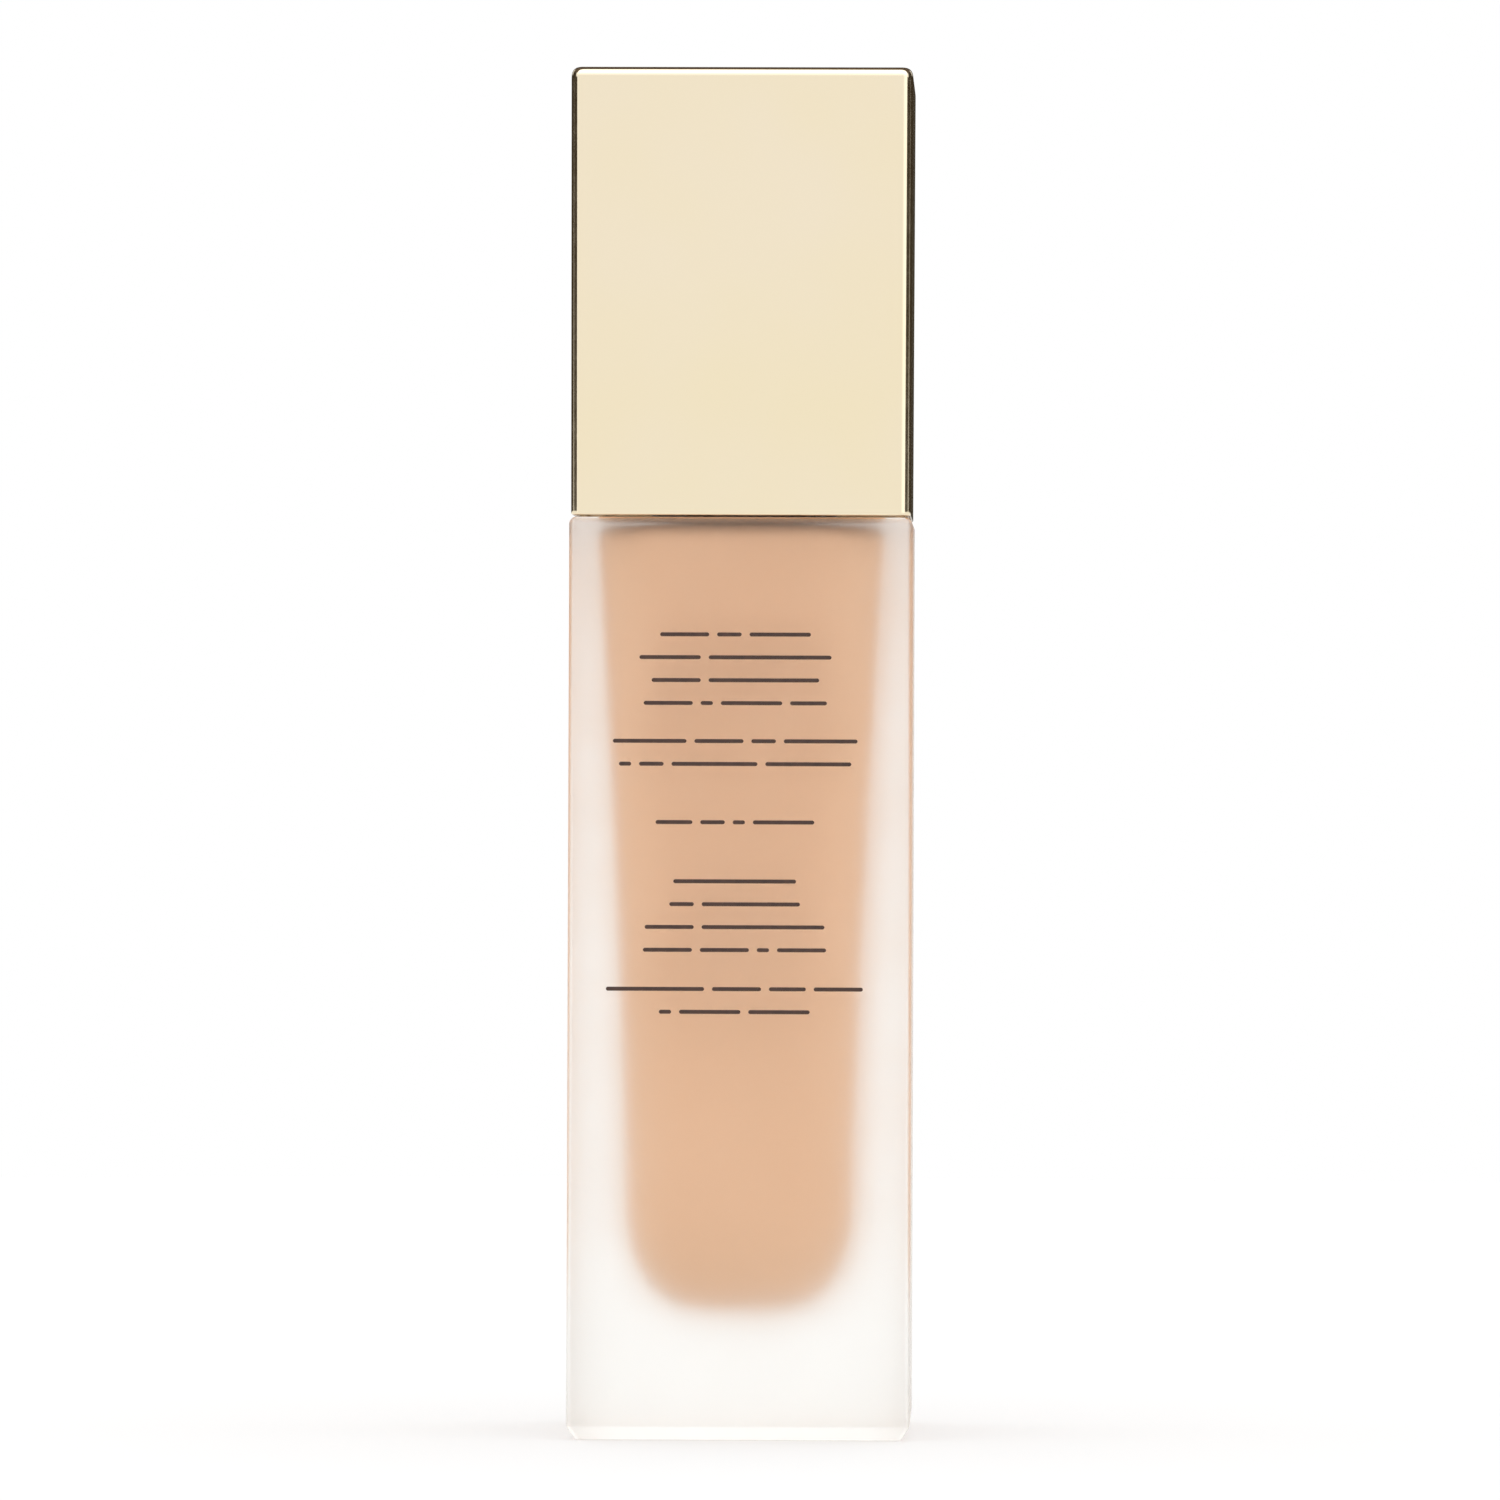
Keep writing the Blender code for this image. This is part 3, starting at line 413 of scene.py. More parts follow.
GLASS = frosted_glass()
LIQUID = foundation()
CAP_GOLD = champagne_gold("champagne_gold", (0.868, 0.757, 0.525), (0.868, 0.762, 0.582), 0.11)
COLLAR_GOLD = champagne_gold("collar_gold", (0.86, 0.74, 0.52), (0.87, 0.76, 0.57), 0.17)
WHITE_PLASTIC = moulded_plastic("white_plastic", (0.80, 0.80, 0.78), (0.86, 0.86, 0.84), 0.42)
NATURAL_PLASTIC = moulded_plastic("natural_plastic", (0.84, 0.84, 0.82), (0.9, 0.9, 0.88), 0.38,
                                  transmission=0.6)
STEEL = spring_steel()
FOAM = gasket_foam()
INK = printing_ink()


def dress(made, body, material, slot, *nodes):
    """Gives a new piece its body, its material and the CAD nodes that it stands for."""
    made.data.materials.clear()
    made.data.materials.append(material)
    smooth(made)
    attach(made, body)
    if nodes:
        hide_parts(*nodes)


# --- Glass bottle and liquid ---------------------------------------------------------------


def cavity_half(height):
    """Half the width of the glass's inside at a height."""
    rise = max(height - CAVITY_ROUND, 0.0) / (CAVITY_CEILING - CAVITY_ROUND)
    half = CAVITY_HALF_LOW + CAVITY_HALF_GAIN * rise ** CAVITY_FLARE
    if height < CAVITY_ROUND:
        drop = (CAVITY_ROUND - height) / (CAVITY_ROUND - CAVITY_FLOOR)
        half *= (1 - drop ** 2) ** (1 / CAVITY_BOTTOM_SHAPE)
    over = height - (CAVITY_CEILING - CAVITY_CEILING_EDGE)
    if over > 0:
        half -= CAVITY_CEILING_EDGE - math.sqrt(max(CAVITY_CEILING_EDGE ** 2 - over ** 2, 0.0))
    return half


def loft(name, sections, corner_steps):
    """A closed solid through rounded squares of (half width, corner radius, height)."""
    bm = bmesh.new()
    rings = []
    for half, corner, height in sections:
        ring = []
        for quarter in range(4):
            turn = Matrix.Rotation(quarter * math.pi / 2, 2)
            for step in range(corner_steps + 1):
                angle = math.pi / 2 * step / corner_steps
                place = turn @ Vector((half - corner + corner * math.cos(angle),
                                       half - corner + corner * math.sin(angle)))
                ring.append(bm.verts.new(Vector((place.x, place.y, height)) * MM))
        rings.append(ring)
    for lower, upper in zip(rings, rings[1:]):
        for index in range(len(lower)):
            after = (index + 1) % len(lower)
            bm.faces.new((lower[index], lower[after], upper[after], upper[index]))
    bm.faces.new(reversed(rings[0]))
    bm.faces.new(rings[-1])
    return link(name, mesh_from(bm, name))


def cavity_solid(name, outset):
    """The cavity's shape as a solid, grown by the outset all round.

    The first angles run up the rounded bottom, closest together where it is flattest.
    """
    heights = [CAVITY_ROUND - (CAVITY_ROUND - CAVITY_FLOOR) * math.sin(math.radians(angle))
               for angle in (88, 85, 81, 77, 72, 67, 62, 56, 50, 44, 37, 30, 22, 14, 7, 0)]
    top = CAVITY_CEILING - CAVITY_CEILING_EDGE
    heights += [CAVITY_ROUND + (top - CAVITY_ROUND) * step / 24 for step in range(1, 25)]
    heights += [top + CAVITY_CEILING_EDGE * math.sin(math.radians(angle))
                for angle in (15, 30, 45, 60, 75, 90)]
    middle = (CAVITY_CEILING + CAVITY_FLOOR) / 2
    stretch = 1 + 2 * outset / (CAVITY_CEILING - CAVITY_FLOOR)
    sections = []
    for height in heights:
        half = cavity_half(height) + outset
        corner = min(CAVITY_CORNER, 0.55 * half)
        sections.append((half, corner, middle + (height - middle) * stretch))
    return loft(name, sections, 14)


def body_solid(name):
    """The square body: upright edges rounded a little, a soft shoulder and a chamfered base."""
    soft = 0.12  # the chamfer's own two edges are eased this far
    slope = BASE_CHAMFER_WIDTH / BASE_CHAMFER_HEIGHT
    base = GLASS_HALF - BASE_CHAMFER_WIDTH
    chamfer_top = BASE_CHAMFER_HEIGHT
    outline = [(base - soft, 0.0),
               (base + 0.3 * soft * slope, 0.3 * soft),
               (base + soft * slope, soft),
               (GLASS_HALF - soft * slope, chamfer_top - soft),
               (GLASS_HALF - 0.25 * soft * slope, chamfer_top),
               (GLASS_HALF, chamfer_top + soft)]
    outline += arc((GLASS_HALF - SHOULDER_EDGE, SHOULDER - SHOULDER_EDGE), SHOULDER_EDGE, 0, 90, 9)
    return loft(name, [(half, BODY_CORNER, height) for half, height in outline], 8)


def make_glass():
    """The square body with rounded edges, the threaded neck and the cavity."""
    glass = body_solid("frosted_bottle")
    sunk = SHOULDER - 1.0
    lip = 0.6
    fillet = 0.6
    neck = [(0.0, NECK_TOP)]
    neck += arc((NECK_RADIUS - lip, NECK_TOP - lip), lip, 90, 0, 6)
    neck += arc((NECK_RADIUS + fillet, SHOULDER + fillet), fillet, 180, 262, 6)
    neck += [(NECK_RADIUS + fillet, sunk), (0.0, sunk)]
    boolean(glass, turned("tool", neck), "UNION")
    boolean(glass, thread_ridge(NECK_RADIUS, 0.0, THREAD_TURNS, 1), "UNION")
    boolean(glass, cavity_solid("tool", 0.0), "DIFFERENCE")
    bore = rod(NECK_BORE, (0, 0, CAVITY_CEILING - 2), (0, 0, NECK_TOP + 2), 96)
    boolean(glass, bore, "DIFFERENCE")
    dress(glass, "bottle", GLASS, "frosted_glass", "glass_bottle")


def make_liquid():
    """The liquid, which wets the glass, hollowed round the pump and the dip tube."""
    liquid = cavity_solid("liquid_fill", WETTED)
    clear = 0.3
    barrel = 5.5 + clear
    barrel_low = 79.5
    valve = 3.3 + clear
    valve_high = 78.1
    tube = high("dip_tube").x + clear
    housing_bottom = low("pump_housing").z - clear
    tube_bottom = low("dip_tube").z - clear
    above = CAVITY_CEILING + 2
    room = [(0.0, above), (barrel, above), (barrel, barrel_low), (valve, valve_high),
            (valve, housing_bottom), (tube, housing_bottom), (tube, tube_bottom),
            (0.0, tube_bottom)]
    boolean(liquid, turned("tool", room, 48), "DIFFERENCE")
    dress(liquid, "bottle", LIQUID, "foundation", "foundation_liquid")


# --- Overcap -------------------------------------------------------------------------------


def open_cup(name, half_bottom, half_top, bottom, top, edge, wall, segments, shape=0.5):
    """A square cup standing on its rim, with rounded outer edges and an even wall."""
    bm = bmesh.new()
    bmesh.ops.create_cube(bm, size=2.0)
    for vert in bm.verts:
        half = half_top if vert.co.z > 0 else half_bottom
        height = top if vert.co.z > 0 else bottom
        vert.co = Vector((vert.co.x * half, vert.co.y * half, height)) * MM
    floor = [face for face in bm.faces if face.normal.z < -0.5]
    bmesh.ops.delete(bm, geom=floor, context="FACES_ONLY")
    cup = link(name, mesh_from(bm, name))
    bevel(cup, edge, segments, shape)
    solid = cup.modifiers.new("wall", "SOLIDIFY")
    solid.thickness = wall * MM
    solid.offset = -1.0
    solid.use_even_offset = True
    return apply_modifiers(cup)


def make_overcap():
    """The gold shell: a square cup with tight rounded edges and an eased rim."""
    rim_cut = 0.4
    rim_edge = 0.14
    shell = open_cup("cap_shell", CAP_HALF_BOTTOM, CAP_HALF_TOP, CAP_BOTTOM, CAP_TOP,
                     CAP_EDGE, CAP_WALL, 14, CAP_EDGE_SHAPE)
    # A cut round the walls just above the rim keeps the rim's rounding out of their shading.
    bm = bmesh.new()
    bm.from_mesh(shell.data)
    bmesh.ops.bisect_plane(bm, geom=bm.verts[:] + bm.edges[:] + bm.faces[:],
                           plane_co=(0, 0, (CAP_BOTTOM + rim_cut) * MM), plane_no=(0, 0, 1))
    bm.to_mesh(shell.data)
    bm.free()
    bevel(shell, rim_edge, 3)
    dress(shell, "overcap", CAP_GOLD, "champagne_gold", "overcap_shell")


def make_cap_liner():
    """The white insert: a square cup, a round sleeve with grip beads, and four ribs."""
    half = high("overcap_liner").x
    bottom, top = low("overcap_liner").z, high("overcap_liner").z
    wall = 1.0
    liner = open_cup("cap_liner", half, half, bottom, top, 1.2, wall, 6)
    bore = high("collar_ferrule").x + 0.3
    outer = bore + 1.0
    roof = top - wall / 2
    sleeve_low = bottom + 0.3
    lead = 0.35  # chamfer that guides the collar in
    sleeve = [(outer, roof), (outer, sleeve_low + 0.2), (outer - 0.2, sleeve_low),
              (bore + lead, sleeve_low), (bore, sleeve_low + lead), (bore, roof)]
    boolean(liner, turned("tool", sleeve), "UNION")
    start = outer - 0.4
    end = (half - wall) * math.sqrt(2)
    rib_low = bottom + 4.0
    for quarter in range(4):
        angle = math.radians(45 + 90 * quarter)
        reach = (start + end) / 2
        middle = (reach * math.cos(angle), reach * math.sin(angle), (rib_low + roof) / 2)
        boolean(liner, block((end - start, 1.0, roof - rib_low), middle, angle), "UNION")
    dress(liner, "overcap", WHITE_PLASTIC, "white_plastic", "overcap_liner")


# --- Closure and pump head -----------------------------------------------------------------


def make_collar():
    """The metal sleeve over the closure, with a rolled lower edge and a turned line near it."""
    radius = high("collar_ferrule").x
    bottom, top = low("collar_ferrule").z, high("collar_ferrule").z
    hole, wall, edge, roll = 6.4, 0.5, 1.0, 0.25
    bore = radius - wall
    roof = top - 0.6
    inner_edge = 0.5
    line = bottom + 2.2
    line_depth = 0.15
    profile = [(hole + 0.1, top)]
    profile += arc((radius - edge, top - edge), edge, 90, 0, 10)
    profile += [(radius, line + 0.35), (radius - line_depth, line + 0.2),
                (radius - line_depth, line), (radius, line - line_depth)]
    profile += arc((radius - roll, bottom + roll), roll, 0, -180, 8)
    profile += arc((bore - inner_edge, roof - inner_edge), inner_edge, 0, 90, 4)
    profile += [(hole, roof), (hole, top - 0.1)]
    collar = turned("gold_collar", profile, 128)
    dress(collar, "closure", COLLAR_GOLD, "champagne_gold", "collar_ferrule")


def make_closure():
    """The threaded closure inside the collar."""
    radius = high("screw_closure").x
    bottom, top = low("screw_closure").z, high("screw_closure").z
    bore, hole, roof = 10.15, 6.4, top - 1.2
    shoulder, foot, lead = 0.6, 0.2, 0.3  # chamfers: outside at the top and foot, inside at the foot
    profile = [(hole, top), (radius - shoulder, top), (radius, top - shoulder),
               (radius, bottom + foot), (radius - foot, bottom), (bore + lead, bottom),
               (bore, bottom + lead), (bore, roof), (hole, roof)]
    closure = turned("threaded_closure", profile)
    boolean(closure, thread_ridge(bore, -0.5, THREAD_TURNS - 0.5, -1), "UNION")
    dress(closure, "closure", WHITE_PLASTIC, "white_plastic", "screw_closure")


def make_head_shell():
    """The gold skin of the pump's head, dished for the finger."""
    radius = high("actuator_shell").x
    bottom, top = low("actuator_shell").z, high("actuator_shell").z
    edge, wall, dish = 0.8, 0.5, 0.7
    rest = radius - edge

    def hollow(distance, drop):
        """Height of the dished top at a distance from the axis, less the drop."""
        return top - dish * (1 - (distance / rest) ** 2) - drop

    steps = 16
    outer = [(rest * step / steps, hollow(rest * step / steps, 0)) for step in range(steps + 1)]
    outer += arc((rest, top - edge), edge, 80, 0, 8)
    inner = [(radius - wall, bottom), (radius - wall, top - edge)]
    inner += [(rest * step / steps, hollow(rest * step / steps, wall))
              for step in range(steps, -1, -1)]
    foot = 0.15
    rim = [(radius, bottom + foot), (radius - foot, bottom)]
    shell = turned("head_shell", outer + rim + inner, 128)
    window = rod(high("nozzle_insert").x + 0.25, (0, -4, NOZZLE_HEIGHT),
                 (0, -radius - 1, NOZZLE_HEIGHT))
    boolean(shell, window, "DIFFERENCE")
    dress(shell, "pump_head", COLLAR_GOLD, "champagne_gold", "actuator_shell")


def make_head_core():
    """The plastic inside the head: a skirt, a boss on the stem and the outlet's way."""
    radius = high("actuator_core").x
    bottom, top = low("actuator_core").z, high("actuator_core").z
    skirt, boss, seat, way = 6.2, 3.4, 2.35, 0.9
    hollow = bottom + 3.0
    boss_bottom = bottom + 0.8
    seat_top = STEM_TOP + 0.3
    edge, foot = 0.5, 0.15
    profile = [(0.0, top)]
    profile += arc((radius - edge, top - edge), edge, 90, 0, 5)
    profile += [(radius, bottom + foot), (radius - foot, bottom), (skirt + foot, bottom),
                (skirt, bottom + foot), (skirt, hollow), (boss, hollow), (boss, boss_bottom),
                (seat, boss_bottom), (seat, seat_top), (way, seat_top), (way, NOZZLE_HEIGHT),
                (0.0, NOZZLE_HEIGHT)]
    core = turned("head_core", profile)
    socket = rod(high("nozzle_insert").x + 0.3, (0, -4, NOZZLE_HEIGHT),
                 (0, -radius - 1, NOZZLE_HEIGHT))
    boolean(core, socket, "DIFFERENCE")
    outlet = rod(0.8, (0, 0.3, NOZZLE_HEIGHT), (0, -4.3, NOZZLE_HEIGHT), 32)
    boolean(core, outlet, "DIFFERENCE")
    dress(core, "pump_head", WHITE_PLASTIC, "white_plastic", "actuator_core")


def make_spout():
    """The spout: a short tube with a rounded lip and a countersunk outlet."""
    radius = high("nozzle_insert").x
    near, far = -high("nozzle_insert").y, -low("nozzle_insert").y
    length = far - near
    bore, lip, countersink, back_edge = 0.8, 0.5, 0.3, 0.1
    profile = arc((radius - lip, length - lip), lip, 90, 0, 6)
    profile += [(radius, back_edge), (radius - back_edge, 0.0), (bore, 0.0), (bore, length - 0.4),
                (bore + countersink, length)]
    spout = turned("spout", profile, 64)
    spout.data.transform(Matrix.Translation(Vector((0, -near, NOZZLE_HEIGHT)) * MM)
                         @ Matrix.Rotation(math.radians(90), 4, "X"))
    dress(spout, "pump_head", WHITE_PLASTIC, "white_plastic", "nozzle_insert")


def make_stem():
    """The hollow stem, with the ring that pushes the piston and two crossed slots at its foot."""
    bottom, top = low("pump_stem").z, STEM_TOP
    radius, ring, bore, socket = 2.05, high("pump_stem").x, 0.9, 1.3
    ring_bottom, ring_top = 100.6, 101.4
    socket_top = bottom + 2.7
    profile = [(radius - 0.1, top), (radius, top - 0.1), (radius, ring_top), (ring, ring_top),
               (ring, ring_bottom), (radius, ring_bottom), (radius, bottom), (socket, bottom),
               (socket, socket_top), (bore, socket_top + 0.5), (bore, top)]
    stem = turned("hollow_stem", profile, 64)
    across, slot, depth = 6.0, 0.9, 1.1
    for size in ((across, slot, 2 * depth), (slot, across, 2 * depth)):
        boolean(stem, block(size, (0, 0, bottom)), "DIFFERENCE")
    dress(stem, "plunger", WHITE_PLASTIC, "white_plastic", "pump_stem")


def make_chaplet():
    """The guide ring round the stem: a rounded rim and a sleeve below it."""
    rim, top = high("chaplet").x, high("chaplet").z
    bottom = low("chaplet").z
    rim_bottom = top - 0.8
    sleeve, bore, lead = 4.0, 2.4, 0.25
    profile = [(rim - 0.3, top), (rim - 0.09, top - 0.09), (rim, top - 0.3), (rim, rim_bottom),
               (sleeve, rim_bottom), (sleeve, bottom), (bore, bottom), (bore, top - lead),
               (bore + lead, top)]
    ring = turned("guide_ring", profile)
    dress(ring, "pump_body", WHITE_PLASTIC, "white_plastic", "chaplet")


def make_spring():
    """The return spring, which closes up as the head goes down."""
    bottom, top = low("return_spring").z, high("return_spring").z
    wire, turns, per_turn = 0.3, 7, 36
    radius = high("return_spring").x - wire
    first, last = bottom + wire, top - wire
    closed = 2 * wire + 0.05  # rise of each end turn, which lie all but against their neighbours
    curve = bpy.data.curves.new("coil_spring", "CURVE")
    curve.dimensions = "3D"
    curve.bevel_depth = wire * MM
    curve.bevel_resolution = 4
    curve.use_fill_caps = True
    line = curve.splines.new("POLY")
    line.points.add(turns * per_turn)
    for step, point in enumerate(line.points):
        turn = step / per_turn
        angle = 2 * math.pi * turn
        open_turns = min(max(turn - 1, 0), turns - 2)
        height = first + closed * (turn - open_turns)
        height += (last - first - 2 * closed) * open_turns / (turns - 2)
        place = Vector((radius * math.cos(angle), radius * math.sin(angle), height)) * MM
        point.co = (*place, 1.0)
    guide = bpy.data.objects.new("guide", curve)
    bpy.context.scene.collection.objects.link(guide)
    bpy.context.view_layer.update()
    depsgraph = bpy.context.evaluated_depsgraph_get()
    mesh = bpy.data.meshes.new_from_object(guide.evaluated_get(depsgraph))
    bpy.data.objects.remove(guide, do_unlink=True)
    spring = link("coil_spring", mesh)
    dress(spring, "pump_body", STEEL, "spring_steel", "return_spring")
    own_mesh(spring)


# --- Printed lines -------------------------------------------------------------------------


def make_print():
    """Thirteen centred lines of plain dashes on the front, in the place of the printed text."""
    pitch = 2.18  # from one line to the next inside a block
    bar = 0.38  # height of a dash
    gap = 0.75  # between two dashes
    letter = 1.17  # length of dash that stands for one letter
    front = -GLASS_HALF - 0.02
    first = 76.8  # height of the first line
    middle = -0.45  # the print sits a little left of the middle
    # Each block is the drop from the line above, then the letters of each word, line by line.
    blocks = [
        (0.0, [(4, 2, 5), (5, 10), (4, 9), (4, 1, 5, 3)]),
        (3.62, [(6, 4, 2, 6), (1, 2, 7, 7)]),
        (5.55, [(3, 2, 1, 5)]),
        (5.63, [(10,), (2, 8), (4, 10), (4, 4, 1, 4)]),
        (3.72, [(8, 4, 3, 4), (1, 5, 5)]),
    ]
    bm = bmesh.new()
    height = first
    for drop, lines in blocks:
        height -= drop
        for row, words in enumerate(lines):
            if row:
                height -= pitch
            width = sum(count * letter for count in words) + gap * (len(words) - 1)
            left = middle - width / 2
            for count in words:
                right = left + count * letter
                add_dash(bm, left, right, height, bar, front)
                left = right + gap
    dashes = link("printed_dashes", mesh_from(bm, "printed_dashes"))
    dress(dashes, "bottle", INK, "white_plastic")


def add_dash(bm, left, right, height, bar, front):
    """One thin bar with round ends, from the front plane 0.03 mm back, which sinks it in the glass."""
    radius = bar / 2
    thickness = 0.03
    end_steps = 8
    outline = []
    for centre, start in ((right - radius, -90), (left + radius, 90)):
        outline += arc((centre, height), radius, start, start + 180, end_steps)
    face = bm.faces.new([bm.verts.new(Vector((x, front, z)) * MM) for x, z in outline])
    grown = bmesh.ops.extrude_face_region(bm, geom=[face])
    verts = [item for item in grown["geom"] if isinstance(item, bmesh.types.BMVert)]
    bmesh.ops.translate(bm, vec=Vector((0, thickness, 0)) * MM, verts=verts)


# --- The rest of the CAD nodes keep their shape --------------------------------------------


def dress_cad_nodes():
    """Gives the hidden CAD pieces that stay their procedural materials."""
    looks = {
        "pump_housing": WHITE_PLASTIC,
        "stem_plug": WHITE_PLASTIC,
        "dip_tube": NATURAL_PLASTIC,
        "piston": NATURAL_PLASTIC,
        "neck_gasket": FOAM,
        "inlet_ball": STEEL,
    }
    for name, material in looks.items():
        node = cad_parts[name]
        for holder in node.material_slots:
            holder.material = material


# --- Studio --------------------------------------------------------------------------------


def make_floor():
    """A plain white floor that glows a little, so that it reads as paper white."""
    radius = 650.0
    drop = 0.05  # keeps it clear of the bottle's base
    bm = bmesh.new()
    bmesh.ops.create_circle(bm, cap_ends=True, segments=96, radius=radius * MM,
                            matrix=Matrix.Translation((0, 0, -drop * MM)))
    floor = link("floor", mesh_from(bm, "floor"))
    paint = Paint("floor_white")
    paint.set(Base_Color=(0.42, 0.42, 0.42, 1), Roughness=0.9, Specular_IOR_Level=0.0,
              Emission_Color=(1, 1, 1, 1), Emission_Strength=0.47)
    floor.data.materials.append(paint.material)


def make_world():
    """Two skies of soft boxes: one that the gold's highlights see, and one that lights the rest."""
    world = bpy.data.worlds.new("studio")
    bpy.context.scene.world = world
    world.use_nodes = True
    nodes, links = world.node_tree.nodes, world.node_tree.links
    nodes.clear()
    place = nodes.new("ShaderNodeTexCoord").outputs["Generated"]
    split = nodes.new("ShaderNodeSeparateXYZ")
    links.new(place, split.inputs["Vector"])

    def maths(operation, *sources):
        """The result of a sum on sockets and numbers."""
        node = nodes.new("ShaderNodeMath")
        node.operation = operation
        for socket, source in zip(node.inputs, sources):
            if isinstance(source, (int, float)):
                socket.default_value = source
            else:
                links.new(source, socket)
        return node.outputs["Value"]

    def along(source, *stops):
        """Greys or colours that change as a value does."""
        ramp = ramp_of(nodes, stops)
        links.new(source, ramp.inputs["Fac"])
        return ramp.outputs["Color"]

    def between(factor, first, last):
        """A mix of two colours, each a socket or a fixed colour."""
        mix = nodes.new("ShaderNodeMix")
        mix.data_type = "RGBA"
        links.new(factor, mix.inputs["Factor"])
        for socket, value in ((mix.inputs["A"], first), (mix.inputs["B"], last)):
            if isinstance(value, tuple):
                socket.default_value = (*value, 1.0)
            else:
                links.new(value, socket)
        return mix.outputs["Result"]

    across = maths("ABSOLUTE", split.outputs["X"])
    toward = maths("MULTIPLY", split.outputs["Y"], -1.0)
    # Azimuth is 0 in front, 0.5 to either side and 1 behind. Elevation is 1 straight up.
    azimuth = maths("DIVIDE", maths("ARCTAN2", across, toward), math.pi)
    elevation = maths("DIVIDE", maths("ARCSINE", split.outputs["Z"]), math.pi / 2)

    # The sky that lights everything but highlights: even all round, and brighter above.
    gap = (0.30, 0.28, 0.25)
    around = along(azimuth, (0.00, 1.00), (0.20, 1.05), (0.24, gap), (0.465, gap), (0.475, 0.9),
                   (0.525, 0.9), (0.535, gap), (0.80, gap), (0.86, 1.0), (1.00, 1.0))
    soft = between(along(elevation, (0.12, 0.0), (0.34, 1.0)), around, (1.45, 1.45, 1.45))

    # The sky that highlights see: a wide box in front that reaches up over the object, lamps to
    # the sides and the corners, and dark between them.
    dark = between(along(elevation, (0.30, 0.0), (0.50, 1.0)),
                   (0.045, 0.034, 0.021), (0.110, 0.080, 0.058))
    turned_away = maths("DIVIDE", maths("ARCCOSINE", toward), math.pi)
    upward = maths("DIVIDE", maths("ARCTAN2", split.outputs["Z"], across), math.pi / 2)
    rounding = maths("POWER", maths("MAXIMUM", upward, 0.0), 2.0)
    limit = maths("ADD", 0.215, maths("MULTIPLY", 0.305, rounding))
    box = along(maths("DIVIDE", turned_away, limit), (0.92, 1.0), (1.0, 0.0))
    lift = along(elevation, (0.16, 0.0), (0.48, 0.9))
    right = along(split.outputs["X"], (0.10, 0.0), (0.28, 0.35))
    left = along(maths("MULTIPLY", split.outputs["X"], -1.0), (0.46, 0.0), (0.56, 0.20))
    level = maths("ADD", maths("ADD", lift, 1.01), maths("ADD", right, left))
    # The wide side lamps end at eye level, so that the cap's upright edges stay dark in front. A
    # narrow lamp goes on above each, for the cap's flat side.
    level_eye = maths("ADD", maths("MULTIPLY", elevation, 20.0), 0.5)  # 0.5 at eye level
    sides = maths("MULTIPLY",
                  along(azimuth, (0.40, 0.0), (0.43, 1.0), (0.57, 1.0), (0.60, 0.0)),
                  along(level_eye, (0.50, 1.0), (0.62, 0.0)))
    flanks = maths("MULTIPLY",
                   along(azimuth, (0.474, 0.0), (0.488, 1.0), (0.512, 1.0), (0.526, 0.0)),
                   along(elevation, (0.01, 1.0), (0.035, 0.0)))
    # The corner lamps are for the top of the cap.
    corners = maths("MULTIPLY",
                    along(azimuth, (0.18, 0.0), (0.21, 1.0), (0.29, 1.0), (0.32, 0.0),
                          (0.68, 0.0), (0.71, 1.0), (0.79, 1.0), (0.82, 0.0)),
                    along(elevation, (0.08, 0.0), (0.12, 1.0), (0.40, 1.0), (0.44, 0.0)))
    below = along(level_eye, (0.10, 1.0), (0.35, 0.0))  # carries on the floor beyond its edge
    lamps = maths("MAXIMUM", maths("MAXIMUM", below, flanks), maths("MAXIMUM", sides, corners))
    lamp_colour = (0.98, 0.98, 0.98)
    sharp = between(box, between(lamps, dark, lamp_colour), level)

    def background(colour):
        """Light of a colour from all round."""
        node = nodes.new("ShaderNodeBackground")
        if isinstance(colour, tuple):
            node.inputs["Color"].default_value = (*colour, 1.0)
        else:
            links.new(colour, node.inputs["Color"])
        return node.outputs["Background"]

    def choose(factor, first, last):
        """The first light where the factor is 0, the last where it is 1."""
        node = nodes.new("ShaderNodeMixShader")
        links.new(factor, node.inputs["Fac"])
        links.new(first, node.inputs[1])
        links.new(last, node.inputs[2])
        return node.outputs["Shader"]

    path = nodes.new("ShaderNodeLightPath").outputs
    # A highlight is a glossy ray that has not just come through glass.
    highlight = maths("SUBTRACT", path["Is Glossy Ray"], path["Is Transmission Ray"])
    lit = choose(highlight, background(soft), background(sharp))
    shown = choose(path["Is Camera Ray"], lit, background((1.0, 1.0, 1.0)))
    output = nodes.new("ShaderNodeOutputWorld")
    links.new(shown, output.inputs["Surface"])


def make_camera():
    """A long lens about a metre away, level with the middle of the bottle's height."""
    distance = 1.1
    yaw = math.radians(1.25)  # shows a little of the right side
    roll = math.radians(0.2)
    aim = Vector((0.61, 0.0, 65.8)) * MM
    framed = 142.86 * MM  # width of the frame at the front face
    camera = bpy.data.objects.new("camera", bpy.data.cameras.new("camera"))
    bpy.context.scene.collection.objects.link(camera)
    bpy.context.scene.camera = camera
    camera.data.sensor_width = 36.0
    camera.data.lens = camera.data.sensor_width * (distance - GLASS_HALF * MM) / framed
    camera.data.clip_start = 0.05
    back = Vector((math.sin(yaw), -math.cos(yaw), 0.0))
    camera.location = aim + back * distance
    turn = (-back).to_track_quat("-Z", "Y").to_matrix() @ Matrix.Rotation(roll, 3, "Z")
    camera.rotation_euler = turn.to_euler()


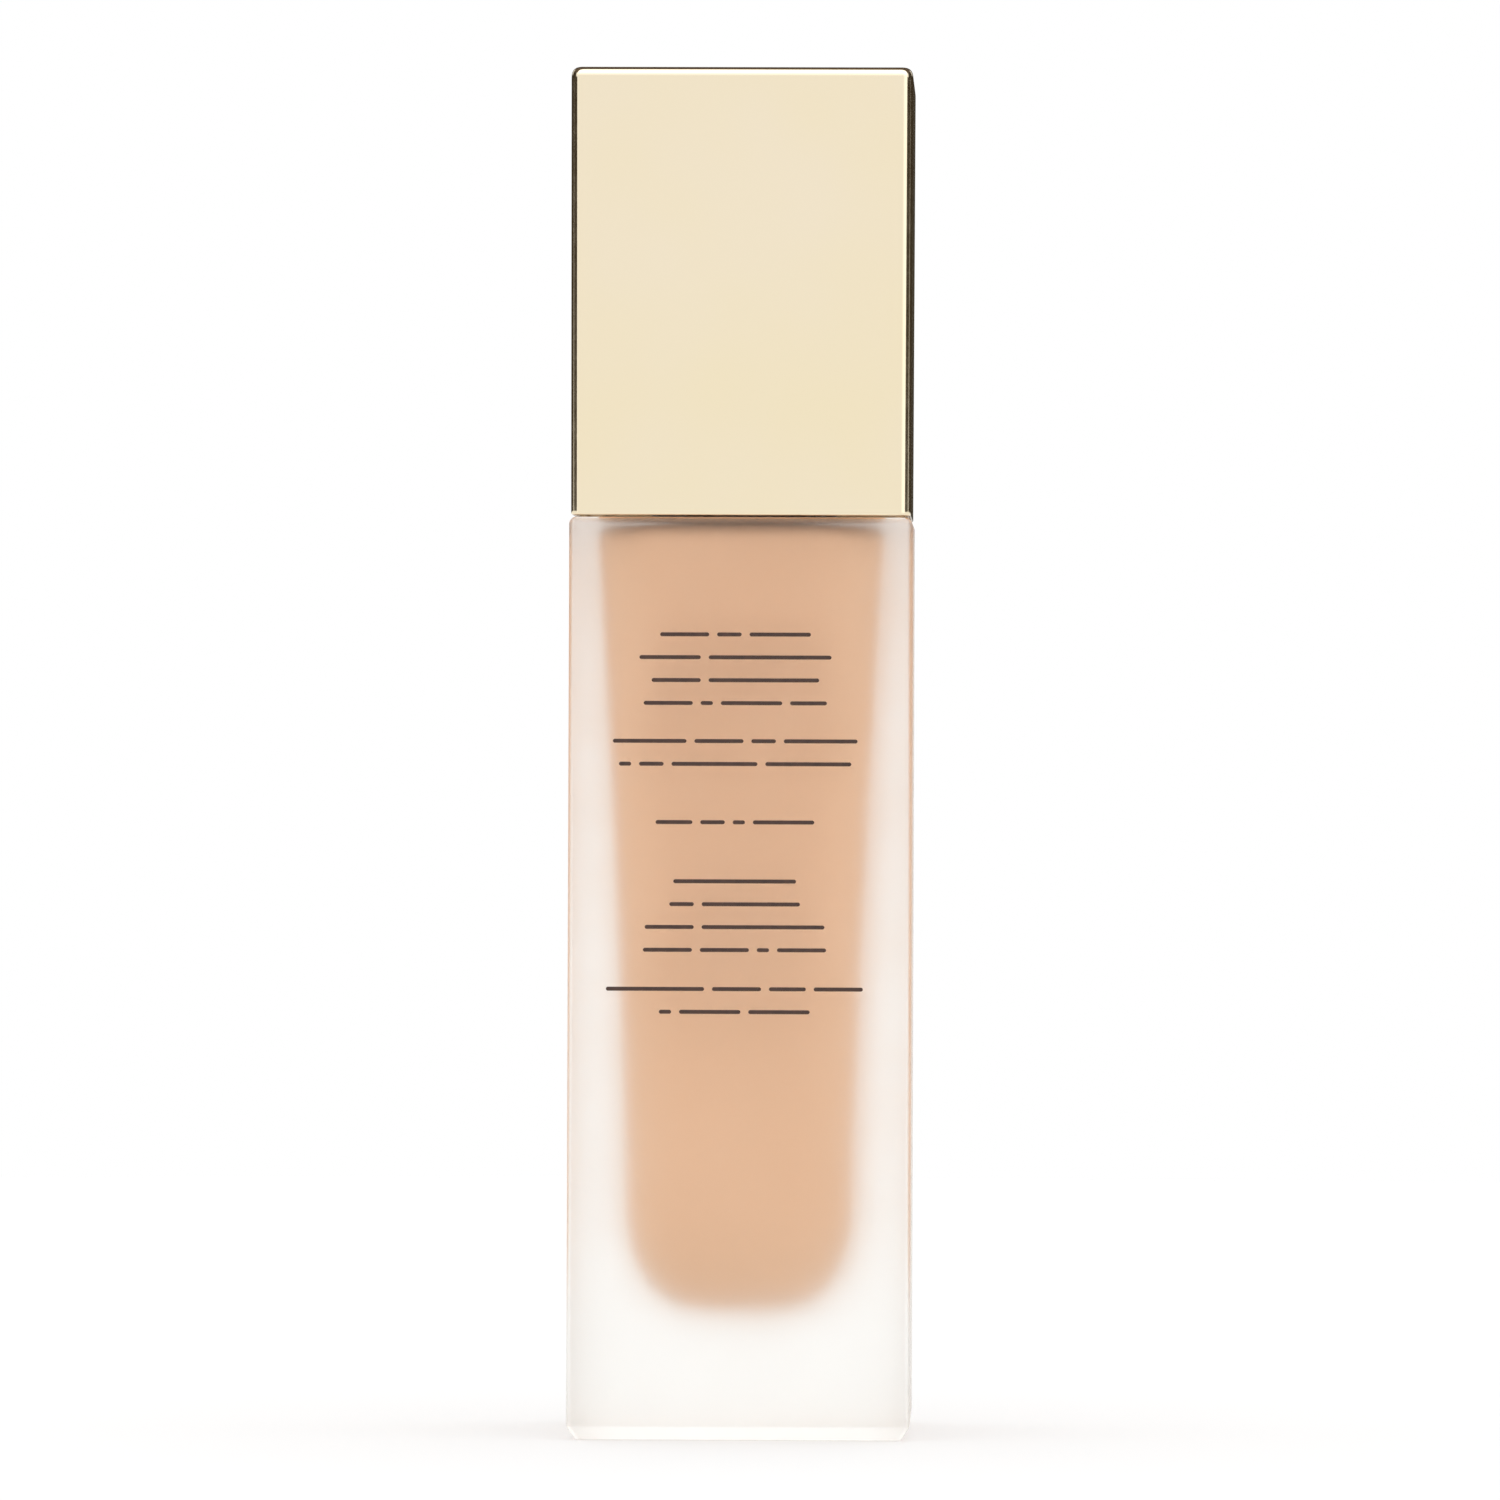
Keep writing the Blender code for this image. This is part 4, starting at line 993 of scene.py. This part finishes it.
make_glass()
make_liquid()
make_overcap()
make_cap_liner()
make_collar()
make_closure()
make_head_shell()
make_head_core()
make_spout()
make_stem()
make_chaplet()
make_spring()
make_print()
dress_cad_nodes()
make_floor()
make_world()
make_camera()

scene = bpy.context.scene
scene.view_settings.view_transform = "Standard"
scene.cycles.use_denoising = True
scene.cycles.max_bounces = 24
scene.cycles.transmission_bounces = 24
